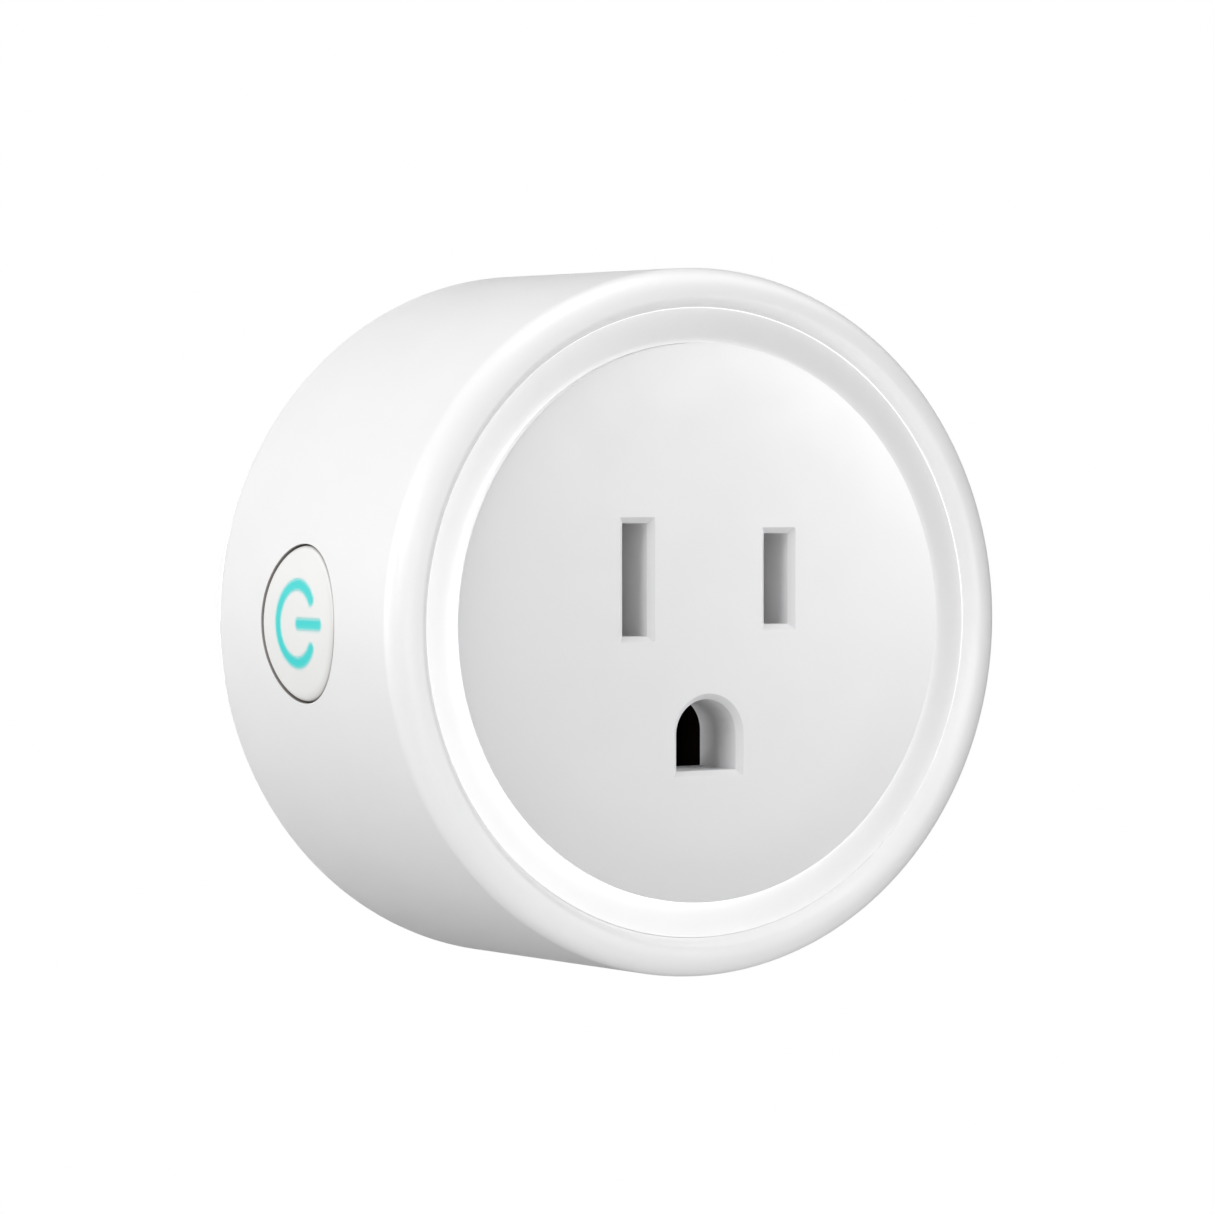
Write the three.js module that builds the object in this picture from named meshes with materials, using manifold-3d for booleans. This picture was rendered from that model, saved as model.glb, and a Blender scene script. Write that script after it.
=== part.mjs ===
// Round smart plug with a three-slot socket on its front, three prongs on its rear and a lit
// push button in its side wall, modelled piece by piece as it comes apart on a bench.
//
// Frame: millimetres, +Z up. The socket faces -Y and the prongs point to +Y. The origin is the
// centre of the flat rear face that meets the wall outlet.

import * as THREE from 'three';
import { mergeVertices } from 'three/addons/utils/BufferGeometryUtils.js';
import Module from 'manifold-3d';

const wasm = await Module();
wasm.setup();

// ---------------------------------------------------------------- driving dimensions

const GAP = 0.3; // clearance between neighbouring pieces
const ROUND = 72; // facets round the casing pieces
const MEDIUM_ROUND = 36; // facets round the button and its hole
const CAN_ROUND = 20; // facets round a capacitor or coil
const SMALL_ROUND = 16; // facets round a small pin or screw

const SHELL = {
  depth: 28.5, // rear face to the edge of the socket plate
  rearRadius: 28.25,
  frontRadius: 27.25,
  wall: 1.85,
  rearEdge: 0.5, // rounding of the rear edge
  rimFillet: 2.15, // outer rounding of the front rim
  rimRise: 1.2, // the rim stands this far in front of the plate's edge
  lipInner: 24.2,
  lipDepth: 1.8, // length of the bore inside the rim
};
const FACE_Y = -SHELL.depth; // plane of the plate's edge

const RING = { inner: 21.7, side: 24.05, flange: 25.05, sunk: 0.55, outerSunk: 0.1, flangeDepth: 0.7 };
const PLATE = {
  radius: 21.5, // visible disc
  flatRadius: 16, // flat middle, where a plug comes to rest
  crown: 0.4, // the middle stands proud of the edge
  edge: 0.3,
  flange: 22.6,
  flangeDepth: 0.7,
  rearY: -25.9,
  tunnelY: -23.2, // rear end of the sleeves behind the slots
  tunnelWall: 1.2,
};

// Standard three-slot pattern: blade pitch, and the ground hole's drop below the blades.
const BLADE_PITCH = 12.7;
const GROUND_DROP = 11.9;
const BLADE_Z = 3.36;
const GROUND_Z = BLADE_Z - GROUND_DROP;
const SLOT = { width: 2.2, neutralHeight: 8.6, lineHeight: 7.05, chamfer: 0.45 };
const EARTH_HOLE = { radius: 2.68, foot: 2.8 };

const BLADE = { thickness: 1.5, width: 6.35, neutralWidth: 7.92, length: 17 };
const BLADE_HOLE = { radius: 1.6, fromTip: 4.2 };
const SHOULDER = { front: -5.2, rear: -2.3, top: 3.9, bottom: -5.2 };
const BLADE_TAIL = { front: -7.4, top: -2.2, bottom: -5 };
const PIN = { radius: 2.4, length: 20.3, collarRadius: 3.75, collarFront: -4.4 };

const REAR_COVER = { radius: 26.1, thickness: 2, edge: 0.25, postRadius: 2.3 };
const REAR_LIP = { inner: 24.4, outer: 25.6, front: -4.5 };
const BOARD = { radius: 24.6, front: -6.9, rear: -5.7 };
const CARRIER = { halfWidth: 10.2, top: 10.3, bottom: -13.9, front: -22.9, rear: -10.2, corner: 2 };
const CARRIER_COVER = { front: -9.9, rear: -8.9 };
const CHAMBER = { halfWidth: 2.6, bottom: -4.9, top: 5.5 };
const EARTH_CHAMBER = { halfWidth: 3.4, bottom: -12.5, top: -4.9 };

const LEAF = {
  thickness: 0.5,
  mouth: 1.5, // half the opening between the leaves, here and in the next two
  throat: 0.6,
  heel: 1.45,
  throatLength: 1.2,
  bottom: -3.2, // heights from the middle of the blade, here and in the next two
  webBottom: 4.3,
  top: 4.8,
};
const CONTACT = { mouthY: -22.4, throatY: -20.6, rearY: -10.6, webY: -14, tailRear: -5, tailHalf: 0.9 };
const EARTH_LEAF = { inner: 2.3, mouth: 2.8, flare: 1.4, top: -6.2, webTop: -11.5, webBottom: -12 };
const STRAP = { front: -5.4, rear: -4.7, halfWidth: 3, top: -5.4, bottom: -13 };

const SCREW = { shank: 1, hole: 1.3, head: 2.1, headHeight: 1.3, point: 0.8 };
const CARRIER_SCREW_Z = [6, -1.6];
const CARRIER_SCREW_TIP = -24.6;
const BOARD_SCREWS = [[15.4, 13.4], [-15.4, 13.4], [0, -20.6]];
const BOARD_SCREW_TIP = -2.2;

const BUTTON = {
  y: -13.9,
  hole: 6.1,
  radius: 5.9,
  sunk: 0.1, // below the side wall
  faceX: -25.4, // inner side of the cap's front
  bore: 4.95,
  flange: 6.6,
  flangeFront: -24.6,
  rear: -23.8,
};
const ICON = { radius: 3.0, stroke: 0.95, gapAngle: 0.62, barFrom: -0.25, barTo: 4.1, clearance: 0.15 };
const GUIDE = { radius: 4.6, front: -25.1, rear: -24.3, stem: 1.5, stemRear: -23.4, sunk: 0.12 };
const SWITCH = { half: 3, front: -22.2, rear: -18.9, pocket: 2, pocketDepth: 1.5 };
const PLUNGER = { radius: 1.7, front: -23.1, rear: -21.3 };
const BUTTON_BOARD = { front: -18.6, rear: -17.6, halfHeight: 8, frontY: -21.5 };
const LED = { depth: 0.8, width: 1.6, height: 1.2, z: 4.9 };

// Components on the main board: place in the face plane, size, and height above the board.
const RELAY = { x0: 13.4, x1: 20.4, halfHeight: 10, base: 1.2, height: 14.8, corner: 0.6 };
const BULK_CAPACITOR = { x: -5.2, z: 16.6, radius: 4, height: 12 };
const FILTER_CAPACITOR = { x: 4.6, z: 16.2, radius: 3.15, height: 10 };
const INDUCTOR = { x: -8.5, z: -18, radius: 3.5, height: 8, disc: 1.2, waist: 2.9 };
const VARISTOR = { x: 7.5, z: -17.8, radius: 3.7, thickness: 3.8, leadLength: 1.4, leadPitch: 5 };
const FUSE = { x0: 12.7, x1: 16.5, z0: -15.9, z1: -11.2, height: 7 };
const WIFI_BOARD = { x0: -14.7, x1: -13.9, halfHeight: 8.5, height: 15.4 };
const WIFI_SHIELD = { x0: -17, x1: -15, y0: -21.5, y1: -11.5, halfHeight: 6, corner: 0.5 };

// Chips and busbars on the board's rear side: footprint in the face plane and thickness.
const BRIDGE_RECTIFIER = { x0: -4, x1: 1, z0: 12, z1: 16, thickness: 1.5 };
const POWER_IC = { x0: 3, x1: 8, z0: 12, z1: 16, thickness: 1.5 };
const NEUTRAL_BUS_BAR = { x0: -9.8, x1: -7.6, z0: -2, z1: 9, thickness: 0.6 };
const LINE_BUS_BAR = { x0: 7.6, x1: 15, z0: -1, z1: 1.5, thickness: 0.6 };

// ---------------------------------------------------------------- finishes

const finish = (color, roughness, metalness = 0) => ({ color, roughness, metalness });
const WHITE_GLOSS = finish(0xf4f4f3, 0.32);
const WHITE_SATIN = finish(0xf0f1f2, 0.4);
const DARK_PLASTIC = finish(0x2b2c2e, 0.6);
const RELAY_BLUE = finish(0x2a4f86, 0.45);
const BRASS = finish(0xc9a55c, 0.35, 1);
const NICKEL = finish(0xc9cac6, 0.3, 1);
const STEEL = finish(0x9ea1a3, 0.35, 1);
const BOARD_GREEN = finish(0x1d5b37, 0.5);
const CYAN_GUIDE = finish(0x5fe0dc, 0.4);
const VARISTOR_BLUE = finish(0x2c5fa8, 0.5);
const FERRITE = finish(0x3a3a3c, 0.7);
const LED_LENS = finish(0xe9e6c8, 0.35);

// ---------------------------------------------------------------- solids and booleans

// Joins coincident corners and drops the slivers that a turned shape leaves at its axis.
function weld(geometry) {
  const bare = geometry.clone();
  bare.deleteAttribute('normal');
  bare.deleteAttribute('uv');
  const merged = mergeVertices(bare, 1e-4);
  const index = merged.getIndex().array;
  const kept = [];
  for (let i = 0; i < index.length; i += 3) {
    const [a, b, c] = [index[i], index[i + 1], index[i + 2]];
    if (a !== b && b !== c && c !== a) kept.push(a, b, c);
  }
  merged.setIndex(kept);
  return merged;
}

// Six times the signed volume: negative when the faces point inwards.
function signedVolume(positions, index) {
  const corner = (i) => new THREE.Vector3().fromArray(positions, 3 * i);
  let sum = 0;
  for (let i = 0; i < index.length; i += 3) {
    sum += corner(index[i]).dot(corner(index[i + 1]).cross(corner(index[i + 2])));
  }
  return sum;
}

function toSolid(geometry) {
  const welded = weld(geometry);
  const vertProperties = new Float32Array(welded.getAttribute('position').array);
  const triVerts = new Uint32Array(welded.getIndex().array);
  if (signedVolume(vertProperties, triVerts) < 0) triVerts.reverse();
  return new wasm.Manifold(new wasm.Mesh({ numProp: 3, vertProperties, triVerts }));
}

function toGeometry(solid) {
  const mesh = solid.getMesh();
  const geometry = new THREE.BufferGeometry();
  geometry.setAttribute('position', new THREE.BufferAttribute(mesh.vertProperties, 3));
  geometry.setIndex(new THREE.BufferAttribute(mesh.triVerts, 1));
  geometry.computeVertexNormals();
  return geometry;
}

const join = (first, ...others) => others.reduce((whole, piece) => whole.add(piece), first);
const cut = (first, ...others) => others.reduce((whole, piece) => whole.subtract(piece), first);

// ---------------------------------------------------------------- shape helpers

const X = new THREE.Vector3(1, 0, 0);
const Y = new THREE.Vector3(0, 1, 0);
const Z = new THREE.Vector3(0, 0, 1);
const SIDE_BASIS = new THREE.Matrix4().makeBasis(Y, Z, X);
const FACE_BASIS = new THREE.Matrix4().makeBasis(X, Z, Y.clone().negate());

function extrusion(outline, depth, curveSegments) {
  return new THREE.ExtrudeGeometry(outline, { depth, bevelEnabled: false, curveSegments });
}

// A prism along X of an outline drawn in (y, z), as seen from the side.
function sidePrism(outline, fromX, toX, curveSegments = SMALL_ROUND) {
  const geometry = extrusion(outline, toX - fromX, curveSegments).applyMatrix4(SIDE_BASIS);
  return toSolid(geometry.translate(fromX, 0, 0));
}

// A prism along Y of an outline drawn in (x, z), as seen in the plug's face.
function facePrism(outline, fromY, toY, curveSegments = SMALL_ROUND) {
  const geometry = extrusion(outline, toY - fromY, curveSegments).applyMatrix4(FACE_BASIS);
  return toSolid(geometry.translate(0, toY, 0));
}

// A prism along Z of an outline drawn in (x, y), as seen from above.
function uprightPrism(outline, fromZ, toZ, curveSegments = SMALL_ROUND) {
  return toSolid(extrusion(outline, toZ - fromZ, curveSegments).translate(0, 0, fromZ));
}

function asShape(points) {
  return new THREE.Shape(points.map((point) => new THREE.Vector2(...point)));
}

function circle(u, v, radius) {
  return new THREE.Shape().absarc(u, v, radius, 0, 2 * Math.PI, false);
}

function rectangle(u0, u1, v0, v1) {
  return asShape([[u0, v0], [u1, v0], [u1, v1], [u0, v1]]);
}

function roundedRectangle(u0, u1, v0, v1, corner) {
  const shape = new THREE.Shape();
  const quarter = Math.PI / 2;
  shape.absarc(u1 - corner, v0 + corner, corner, -quarter, 0, false);
  shape.absarc(u1 - corner, v1 - corner, corner, 0, quarter, false);
  shape.absarc(u0 + corner, v1 - corner, corner, quarter, 2 * quarter, false);
  shape.absarc(u0 + corner, v0 + corner, corner, 2 * quarter, 3 * quarter, false);
  return shape;
}

function box(x0, x1, y0, y1, z0, z1) {
  const geometry = new THREE.BoxGeometry(x1 - x0, y1 - y0, z1 - z0);
  return toSolid(geometry.translate((x0 + x1) / 2, (y0 + y1) / 2, (z0 + z1) / 2));
}

// Points of an elliptical arc in (radius, y), from one angle to another in degrees.
function arc(centreR, centreY, radiusR, radiusY, fromDeg, toDeg, steps) {
  return Array.from({ length: steps + 1 }, (_, i) => {
    const angle = THREE.MathUtils.degToRad(fromDeg + ((toDeg - fromDeg) * i) / steps);
    return [centreR + radiusR * Math.cos(angle), centreY + radiusY * Math.sin(angle)];
  });
}

// A solid of revolution about the Y axis from a closed outline of [radius, y] points.
function turned(points, segments = ROUND) {
  const outline = [...points, points[0]].map(([r, y]) => new THREE.Vector2(r, y));
  return toSolid(new THREE.LatheGeometry(outline, segments));
}

// A solid of revolution about a line parallel to Y through (x, z).
function turnedAt(x, z, points, segments = SMALL_ROUND) {
  return turned(points, segments).translate([x, 0, z]);
}

// A tapering tunnel between two outlines of equal point count, wide at the front.
function taper(front, back, frontY, backY) {
  const count = front.length;
  const positions = [];
  const push = ([x, z], y) => positions.push(x, y, z);
  front.forEach((point) => push(point, frontY));
  back.forEach((point) => push(point, backY));
  const index = [];
  for (let i = 0; i < count; i += 1) {
    const next = (i + 1) % count;
    index.push(i, next, count + next, i, count + next, count + i);
  }
  const capFaces = THREE.ShapeUtils.triangulateShape(front.map((p) => new THREE.Vector2(...p)), []);
  capFaces.forEach(([a, b, c]) => index.push(c, b, a, count + a, count + b, count + c));
  const geometry = new THREE.BufferGeometry();
  geometry.setAttribute('position', new THREE.Float32BufferAttribute(positions, 3));
  geometry.setIndex(index);
  return toSolid(geometry);
}

// ---------------------------------------------------------------- slot outlines in (x, z)

function slotOutline(x, height, grow = 0) {
  const halfWidth = SLOT.width / 2 + grow;
  const halfHeight = height / 2 + grow;
  return [
    [x - halfWidth, BLADE_Z - halfHeight],
    [x + halfWidth, BLADE_Z - halfHeight],
    [x + halfWidth, BLADE_Z + halfHeight],
    [x - halfWidth, BLADE_Z + halfHeight],
  ];
}

// An arch: half a circle over a flat foot.
function earthOutline(grow = 0) {
  const radius = EARTH_HOLE.radius + grow;
  const foot = GROUND_Z - EARTH_HOLE.foot - grow;
  const steps = 12;
  const top = Array.from({ length: steps + 1 }, (_, i) => {
    const angle = (Math.PI * i) / steps;
    return [radius * Math.cos(angle), GROUND_Z + radius * Math.sin(angle)];
  });
  return [[-radius, foot], [radius, foot], ...top];
}

const OPENINGS = [
  (grow) => slotOutline(-BLADE_PITCH / 2, SLOT.neutralHeight, grow),
  (grow) => slotOutline(BLADE_PITCH / 2, SLOT.lineHeight, grow),
  (grow) => earthOutline(grow),
];

// ---------------------------------------------------------------- casing

// Outer radius of the side wall, which widens a little towards the rear as a moulding does.
const RIM_TANGENT_Y = FACE_Y - SHELL.rimRise + SHELL.rimFillet;
function wallRadius(y) {
  return SHELL.rearRadius + (SHELL.frontRadius - SHELL.rearRadius) * (y / RIM_TANGENT_Y);
}

function sideShell() {
  const rimRadius = SHELL.frontRadius - SHELL.rimFillet;
  const crestY = FACE_Y - SHELL.rimRise;
  const lipFrontY = FACE_Y + RING.outerSunk;
  const lipRearY = lipFrontY + SHELL.lipDepth;
  const edge = SHELL.rearEdge;
  const profile = [
    [SHELL.rearRadius - SHELL.wall, 0],
    ...arc(SHELL.rearRadius - edge, -edge, edge, edge, 90, 0, 2),
    ...arc(rimRadius, RIM_TANGENT_Y, SHELL.rimFillet, SHELL.rimFillet, 0, -90, 6),
    ...arc(rimRadius, lipFrontY, rimRadius - SHELL.lipInner, lipFrontY - crestY, -90, -180, 4).slice(1),
    [SHELL.lipInner, lipRearY],
    [wallRadius(lipRearY) - SHELL.wall, lipRearY],
  ];
  const hole = sidePrism(circle(BUTTON.y, 0, BUTTON.hole), -SHELL.rearRadius - 1, -20, MEDIUM_ROUND);
  return cut(turned(profile), hole);
}

// The sloping ring between the rim and the socket plate, with a flange behind the shell's lip.
function frontRing() {
  const frontY = FACE_Y + RING.outerSunk;
  const flangeY = frontY + SHELL.lipDepth + GAP;
  const seatY = flangeY - RING.flangeDepth;
  const profile = [
    [RING.side, frontY],
    [RING.inner, FACE_Y + RING.sunk],
    [RING.inner, seatY],
    [PLATE.flange + GAP, seatY],
    [PLATE.flange + GAP, flangeY + RING.flangeDepth],
    [RING.flange, flangeY + RING.flangeDepth],
    [RING.flange, flangeY],
    [RING.side, flangeY],
  ];
  return turned(profile);
}

function platePocket(outline) {
  const through = facePrism(asShape(outline(0)), FACE_Y - 2, PLATE.tunnelY + 1);
  const frontY = FACE_Y - PLATE.crown;
  const lead = 0.2; // the chamfer's cutter starts this far in front of the plate
  const mouth = taper(outline(SLOT.chamfer + lead), outline(0), frontY - lead, frontY + SLOT.chamfer);
  return through.add(mouth);
}

function socketPlate() {
  const crownY = FACE_Y - PLATE.crown;
  const fall = PLATE.radius - PLATE.edge - PLATE.flatRadius;
  const dome = Array.from({ length: 3 }, (_, i) => {
    const t = (i + 1) / 3;
    return [PLATE.flatRadius + fall * t, crownY + (PLATE.crown - 0.05) * t * t];
  });
  const flangeFrontY = PLATE.rearY - PLATE.flangeDepth;
  const profile = [
    [0, crownY],
    [PLATE.flatRadius, crownY],
    ...dome,
    [PLATE.radius, FACE_Y + PLATE.edge],
    [PLATE.radius, flangeFrontY],
    [PLATE.flange, flangeFrontY],
    [PLATE.flange, PLATE.rearY],
    [0, PLATE.rearY],
  ];
  const overlap = 0.5; // the sleeves and bosses run this far into the disc
  const sleeves = OPENINGS.map((outline) =>
    facePrism(asShape(outline(PLATE.tunnelWall)), PLATE.rearY - overlap, PLATE.tunnelY));
  const bosses = CARRIER_SCREW_Z.map((z) =>
    facePrism(circle(0, z, 2.6), PLATE.rearY - overlap, PLATE.tunnelY));
  const pilots = CARRIER_SCREW_Z.map((z) =>
    facePrism(circle(0, z, SCREW.hole), CARRIER_SCREW_TIP - GAP, PLATE.tunnelY + 1));
  return cut(join(turned(profile), ...sleeves, ...bosses), ...OPENINGS.map(platePocket), ...pilots);
}

function rearCover() {
  const { radius, thickness, edge, postRadius } = REAR_COVER;
  const disc = turned([
    [0, 0],
    [0, -thickness],
    [REAR_LIP.inner, -thickness],
    [REAR_LIP.inner, REAR_LIP.front],
    [REAR_LIP.outer, REAR_LIP.front],
    [REAR_LIP.outer, -thickness],
    [radius, -thickness],
    [radius, -edge],
    [radius - edge, 0],
  ]);
  const postFront = BOARD.rear + GAP;
  const posts = BOARD_SCREWS.map(([x, z]) => facePrism(circle(x, z, postRadius), postFront, -1));
  const pilots = BOARD_SCREWS.map(([x, z]) =>
    facePrism(circle(x, z, SCREW.hole), postFront - 1, BOARD_SCREW_TIP + GAP));
  const bladeHole = (x, width) => {
    const halfWidth = BLADE.thickness / 2 + GAP;
    const halfHeight = width / 2 + GAP;
    const outline = rectangle(x - halfWidth, x + halfWidth, BLADE_Z - halfHeight, BLADE_Z + halfHeight);
    return facePrism(outline, -thickness - 1, 1);
  };
  return cut(
    join(disc, ...posts),
    ...pilots,
    bladeHole(-BLADE_PITCH / 2, BLADE.neutralWidth),
    bladeHole(BLADE_PITCH / 2, BLADE.width),
    facePrism(circle(0, GROUND_Z, PIN.radius + GAP), -thickness - 1, 1, 24),
  );
}

// ---------------------------------------------------------------- prongs

// A flat prong with a tapered tip, a hole, a shoulder inside the rear cover and a solder tail.
function blade(x, width) {
  const half = width / 2;
  const tip = 1.6; // length of the tapered end
  const tipDrop = 1.1;
  const outline = new THREE.Shape([
    [BLADE_TAIL.front, BLADE_TAIL.bottom],
    [SHOULDER.front, BLADE_TAIL.bottom],
    [SHOULDER.front, SHOULDER.bottom],
    [SHOULDER.rear, SHOULDER.bottom],
    [SHOULDER.rear, -half],
    [BLADE.length - tip, -half],
    [BLADE.length, -half + tipDrop],
    [BLADE.length, half - tipDrop],
    [BLADE.length - tip, half],
    [SHOULDER.rear, half],
    [SHOULDER.rear, SHOULDER.top],
    [SHOULDER.front, SHOULDER.top],
    [SHOULDER.front, BLADE_TAIL.top],
    [BLADE_TAIL.front, BLADE_TAIL.top],
  ].map(([y, z]) => new THREE.Vector2(y, z + BLADE_Z)));
  const hole = new THREE.Path();
  hole.absarc(BLADE.length - BLADE_HOLE.fromTip, BLADE_Z, BLADE_HOLE.radius, 0, 2 * Math.PI, true);
  outline.holes.push(hole);
  return sidePrism(outline, x - BLADE.thickness / 2, x + BLADE.thickness / 2);
}

function groundPin() {
  const { radius, length, collarRadius, collarFront } = PIN;
  const collarRear = -REAR_COVER.thickness - GAP;
  return turnedAt(0, GROUND_Z, [
    [0, collarFront],
    [collarRadius, collarFront],
    [collarRadius, collarRear],
    [radius, collarRear],
    ...arc(0, length - radius, radius, radius, 0, 90, 5),
  ], 24);
}

// ---------------------------------------------------------------- socket contacts

// A bent strip of sheet metal in (x, y), from the points of its inner face.
function strip(side, inner) {
  const outer = inner.map(([x, y]) => [x + LEAF.thickness, y]).reverse();
  return asShape([...inner, ...outer].map(([x, y]) => [side * x, y]));
}

// Two sprung leaves, each with a flared mouth, a narrow throat and a straight heel, joined by a
// web above the blade.

function bladeContact(centreX) {
  const leaf = [
    [LEAF.mouth, CONTACT.mouthY],
    [LEAF.throat, CONTACT.throatY],
    [LEAF.throat, CONTACT.throatY + LEAF.throatLength],
    [LEAF.heel, CONTACT.webY],
    [LEAF.heel, CONTACT.rearY],
  ];
  const leaves = [-1, 1].map((side) =>
    uprightPrism(strip(side, leaf), BLADE_Z + LEAF.bottom, BLADE_Z + LEAF.top));
  const reach = LEAF.heel + LEAF.thickness;
  const [webLow, webHigh] = [BLADE_Z + LEAF.webBottom, BLADE_Z + LEAF.top];
  const web = box(-reach, reach, CONTACT.webY, CONTACT.rearY, webLow, webHigh);
  const { tailHalf, tailRear, rearY } = CONTACT;
  const tail = box(-tailHalf, tailHalf, rearY - 1, tailRear, webLow, webHigh);
  return join(web, tail, ...leaves).translate([centreX, 0, 0]);
}

// Two flared leaves on either side of the ground pin, joined underneath it.
function groundContact() {
  const { inner, mouth, flare, top, webTop, webBottom } = EARTH_LEAF;
  const leaf = [[mouth, CONTACT.mouthY], [inner, CONTACT.mouthY + flare], [inner, CONTACT.rearY]];
  const leaves = [-1, 1].map((side) => uprightPrism(strip(side, leaf), webBottom, top));
  const reach = inner + LEAF.thickness;
  const web = box(-reach, reach, CONTACT.webY, CONTACT.rearY, webBottom, webTop);
  const { tailHalf, rearY } = CONTACT;
  const tail = box(-tailHalf, tailHalf, rearY - 1, BOARD.rear, webBottom, webTop);
  return join(web, tail, ...leaves);
}

// The openings in the board and the carrier's cover for one contact's tail.
function tailHole(x, low, high, fromY, toY) {
  const half = CONTACT.tailHalf + GAP;
  return box(x - half, x + half, fromY, toY, low - GAP, high + GAP);
}

function carrierOutline() {
  const { halfWidth, top, bottom, corner } = CARRIER;
  return roundedRectangle(-halfWidth, halfWidth, bottom, top, corner);
}

function socketCarrier() {
  const { front, rear } = CARRIER;
  const chamber = (x) => {
    const [low, high] = [BLADE_Z + CHAMBER.bottom, BLADE_Z + CHAMBER.top];
    return box(x - CHAMBER.halfWidth, x + CHAMBER.halfWidth, front - 1, rear + 1, low, high);
  };
  const earth = EARTH_CHAMBER;
  return cut(
    facePrism(carrierOutline(), front, rear, 6),
    chamber(-BLADE_PITCH / 2),
    chamber(BLADE_PITCH / 2),
    box(-earth.halfWidth, earth.halfWidth, front - 1, rear + 1, earth.bottom, earth.top),
    ...CARRIER_SCREW_Z.map((z) => facePrism(circle(0, z, SCREW.hole), front - 1, rear + 1)),
  );
}

function carrierCover() {
  const { front, rear } = CARRIER_COVER;
  const [cutFront, cutRear] = [front - 1, rear + 1];
  const [low, high] = [BLADE_Z + LEAF.webBottom, BLADE_Z + LEAF.top];
  const pinHalf = 2.7; // a plug's ground pin reaches through this opening
  return cut(
    facePrism(carrierOutline(), front, rear, 6),
    tailHole(-BLADE_PITCH / 2, low, high, cutFront, cutRear),
    tailHole(BLADE_PITCH / 2, low, high, cutFront, cutRear),
    box(-pinHalf, pinHalf, cutFront, cutRear, EARTH_LEAF.webBottom - GAP, GROUND_Z + pinHalf),
    ...CARRIER_SCREW_Z.map((z) => facePrism(circle(0, z, SCREW.hole), cutFront, cutRear)),
  );
}

function groundStrap() {
  const { front, rear, halfWidth, top, bottom } = STRAP;
  return facePrism(roundedRectangle(-halfWidth, halfWidth, bottom, top, 1), front, rear, 5);
}

// ---------------------------------------------------------------- boards and components

function mainBoard() {
  const { radius, front, rear } = BOARD;
  const [cutFront, cutRear] = [front - 1, rear + 1];
  const [low, high] = [BLADE_Z + LEAF.webBottom, BLADE_Z + LEAF.top];
  const bladeTailHole = (x) => {
    const half = BLADE.thickness / 2 + GAP;
    const [bottom, top] = [BLADE_Z + BLADE_TAIL.bottom - GAP, BLADE_Z + BLADE_TAIL.top + GAP];
    return box(x - half, x + half, cutFront, cutRear, bottom, top);
  };
  return cut(
    facePrism(circle(0, 0, radius), front, rear, ROUND),
    ...[-BLADE_PITCH / 2, BLADE_PITCH / 2].flatMap((x) => [
      bladeTailHole(x),
      tailHole(x, low, high, cutFront, cutRear),
    ]),
    tailHole(0, EARTH_LEAF.webBottom, EARTH_LEAF.webTop, cutFront, cutRear),
    ...BOARD_SCREWS.map(([x, z]) => facePrism(circle(x, z, SCREW.hole), cutFront, cutRear)),
  );
}

const MOUNT_Y = BOARD.front - GAP; // where the components on the board's front side end
const REAR_MOUNT_Y = BOARD.rear + GAP; // and those on its rear side begin

// A tin can: rounded shoulder at its far end and a crimped bead near the board.
function capacitor({ x, z, radius, height }) {
  const top = MOUNT_Y - height;
  const bead = 0.35;
  return turnedAt(x, z, [
    [0, MOUNT_Y],
    [radius, MOUNT_Y],
    [radius, MOUNT_Y - 1],
    [radius - bead, MOUNT_Y - 1 - bead],
    [radius, MOUNT_Y - 1 - 2 * bead],
    [radius, top + 0.5],
    [radius - 0.5, top],
    [0, top],
  ], CAN_ROUND);
}

// A drum core: two discs with the winding between them.
function inductor({ x, z, radius, height, disc, waist }) {
  const top = MOUNT_Y - height;
  return turnedAt(x, z, [
    [0, MOUNT_Y],
    [radius, MOUNT_Y],
    [radius, MOUNT_Y - disc],
    [waist, MOUNT_Y - disc],
    [waist, top + disc],
    [radius, top + disc],
    [radius, top],
    [0, top],
  ], CAN_ROUND);
}

// A coated disc standing on edge on two leads.
function varistor({ x, z, radius, thickness, leadLength, leadPitch }) {
  const centreY = MOUNT_Y - leadLength - radius;
  const half = thickness / 2;
  const wire = 0.3;
  const disc = uprightPrism(circle(x, centreY, radius), z - half, z + half, CAN_ROUND);
  const leads = [-1, 1].map((side) => {
    const leadX = x + (side * leadPitch) / 2;
    return box(leadX - wire, leadX + wire, centreY + 1, MOUNT_Y, z - wire, z + wire);
  });
  return join(disc, ...leads);
}

// A block on the board's rear side.
function rearBlock({ x0, x1, z0, z1, thickness }) {
  return box(x0, x1, REAR_MOUNT_Y, REAR_MOUNT_Y + thickness, z0, z1);
}

function relayBase({ x0, x1, halfHeight, base }) {
  return box(x0, x1, MOUNT_Y - base, MOUNT_Y, -halfHeight, halfHeight);
}

function relayCase({ x0, x1, halfHeight, base, height, corner }) {
  const outline = roundedRectangle(x0, x1, -halfHeight, halfHeight, corner);
  return facePrism(outline, MOUNT_Y - height, MOUNT_Y - base - GAP, 3);
}

function fuse({ x0, x1, z0, z1, height }) {
  return box(x0, x1, MOUNT_Y - height, MOUNT_Y, z0, z1);
}

function wifiBoard({ x0, x1, halfHeight, height }) {
  return box(x0, x1, MOUNT_Y - height, MOUNT_Y, -halfHeight, halfHeight);
}

function wifiShield({ x0, x1, y0, y1, halfHeight, corner }) {
  return sidePrism(roundedRectangle(y0, y1, -halfHeight, halfHeight, corner), x0, x1, 3);
}

function buttonBoard({ front, rear, halfHeight, frontY }) {
  return box(front, rear, frontY, MOUNT_Y, -halfHeight, halfHeight);
}

// ---------------------------------------------------------------- fasteners

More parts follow.
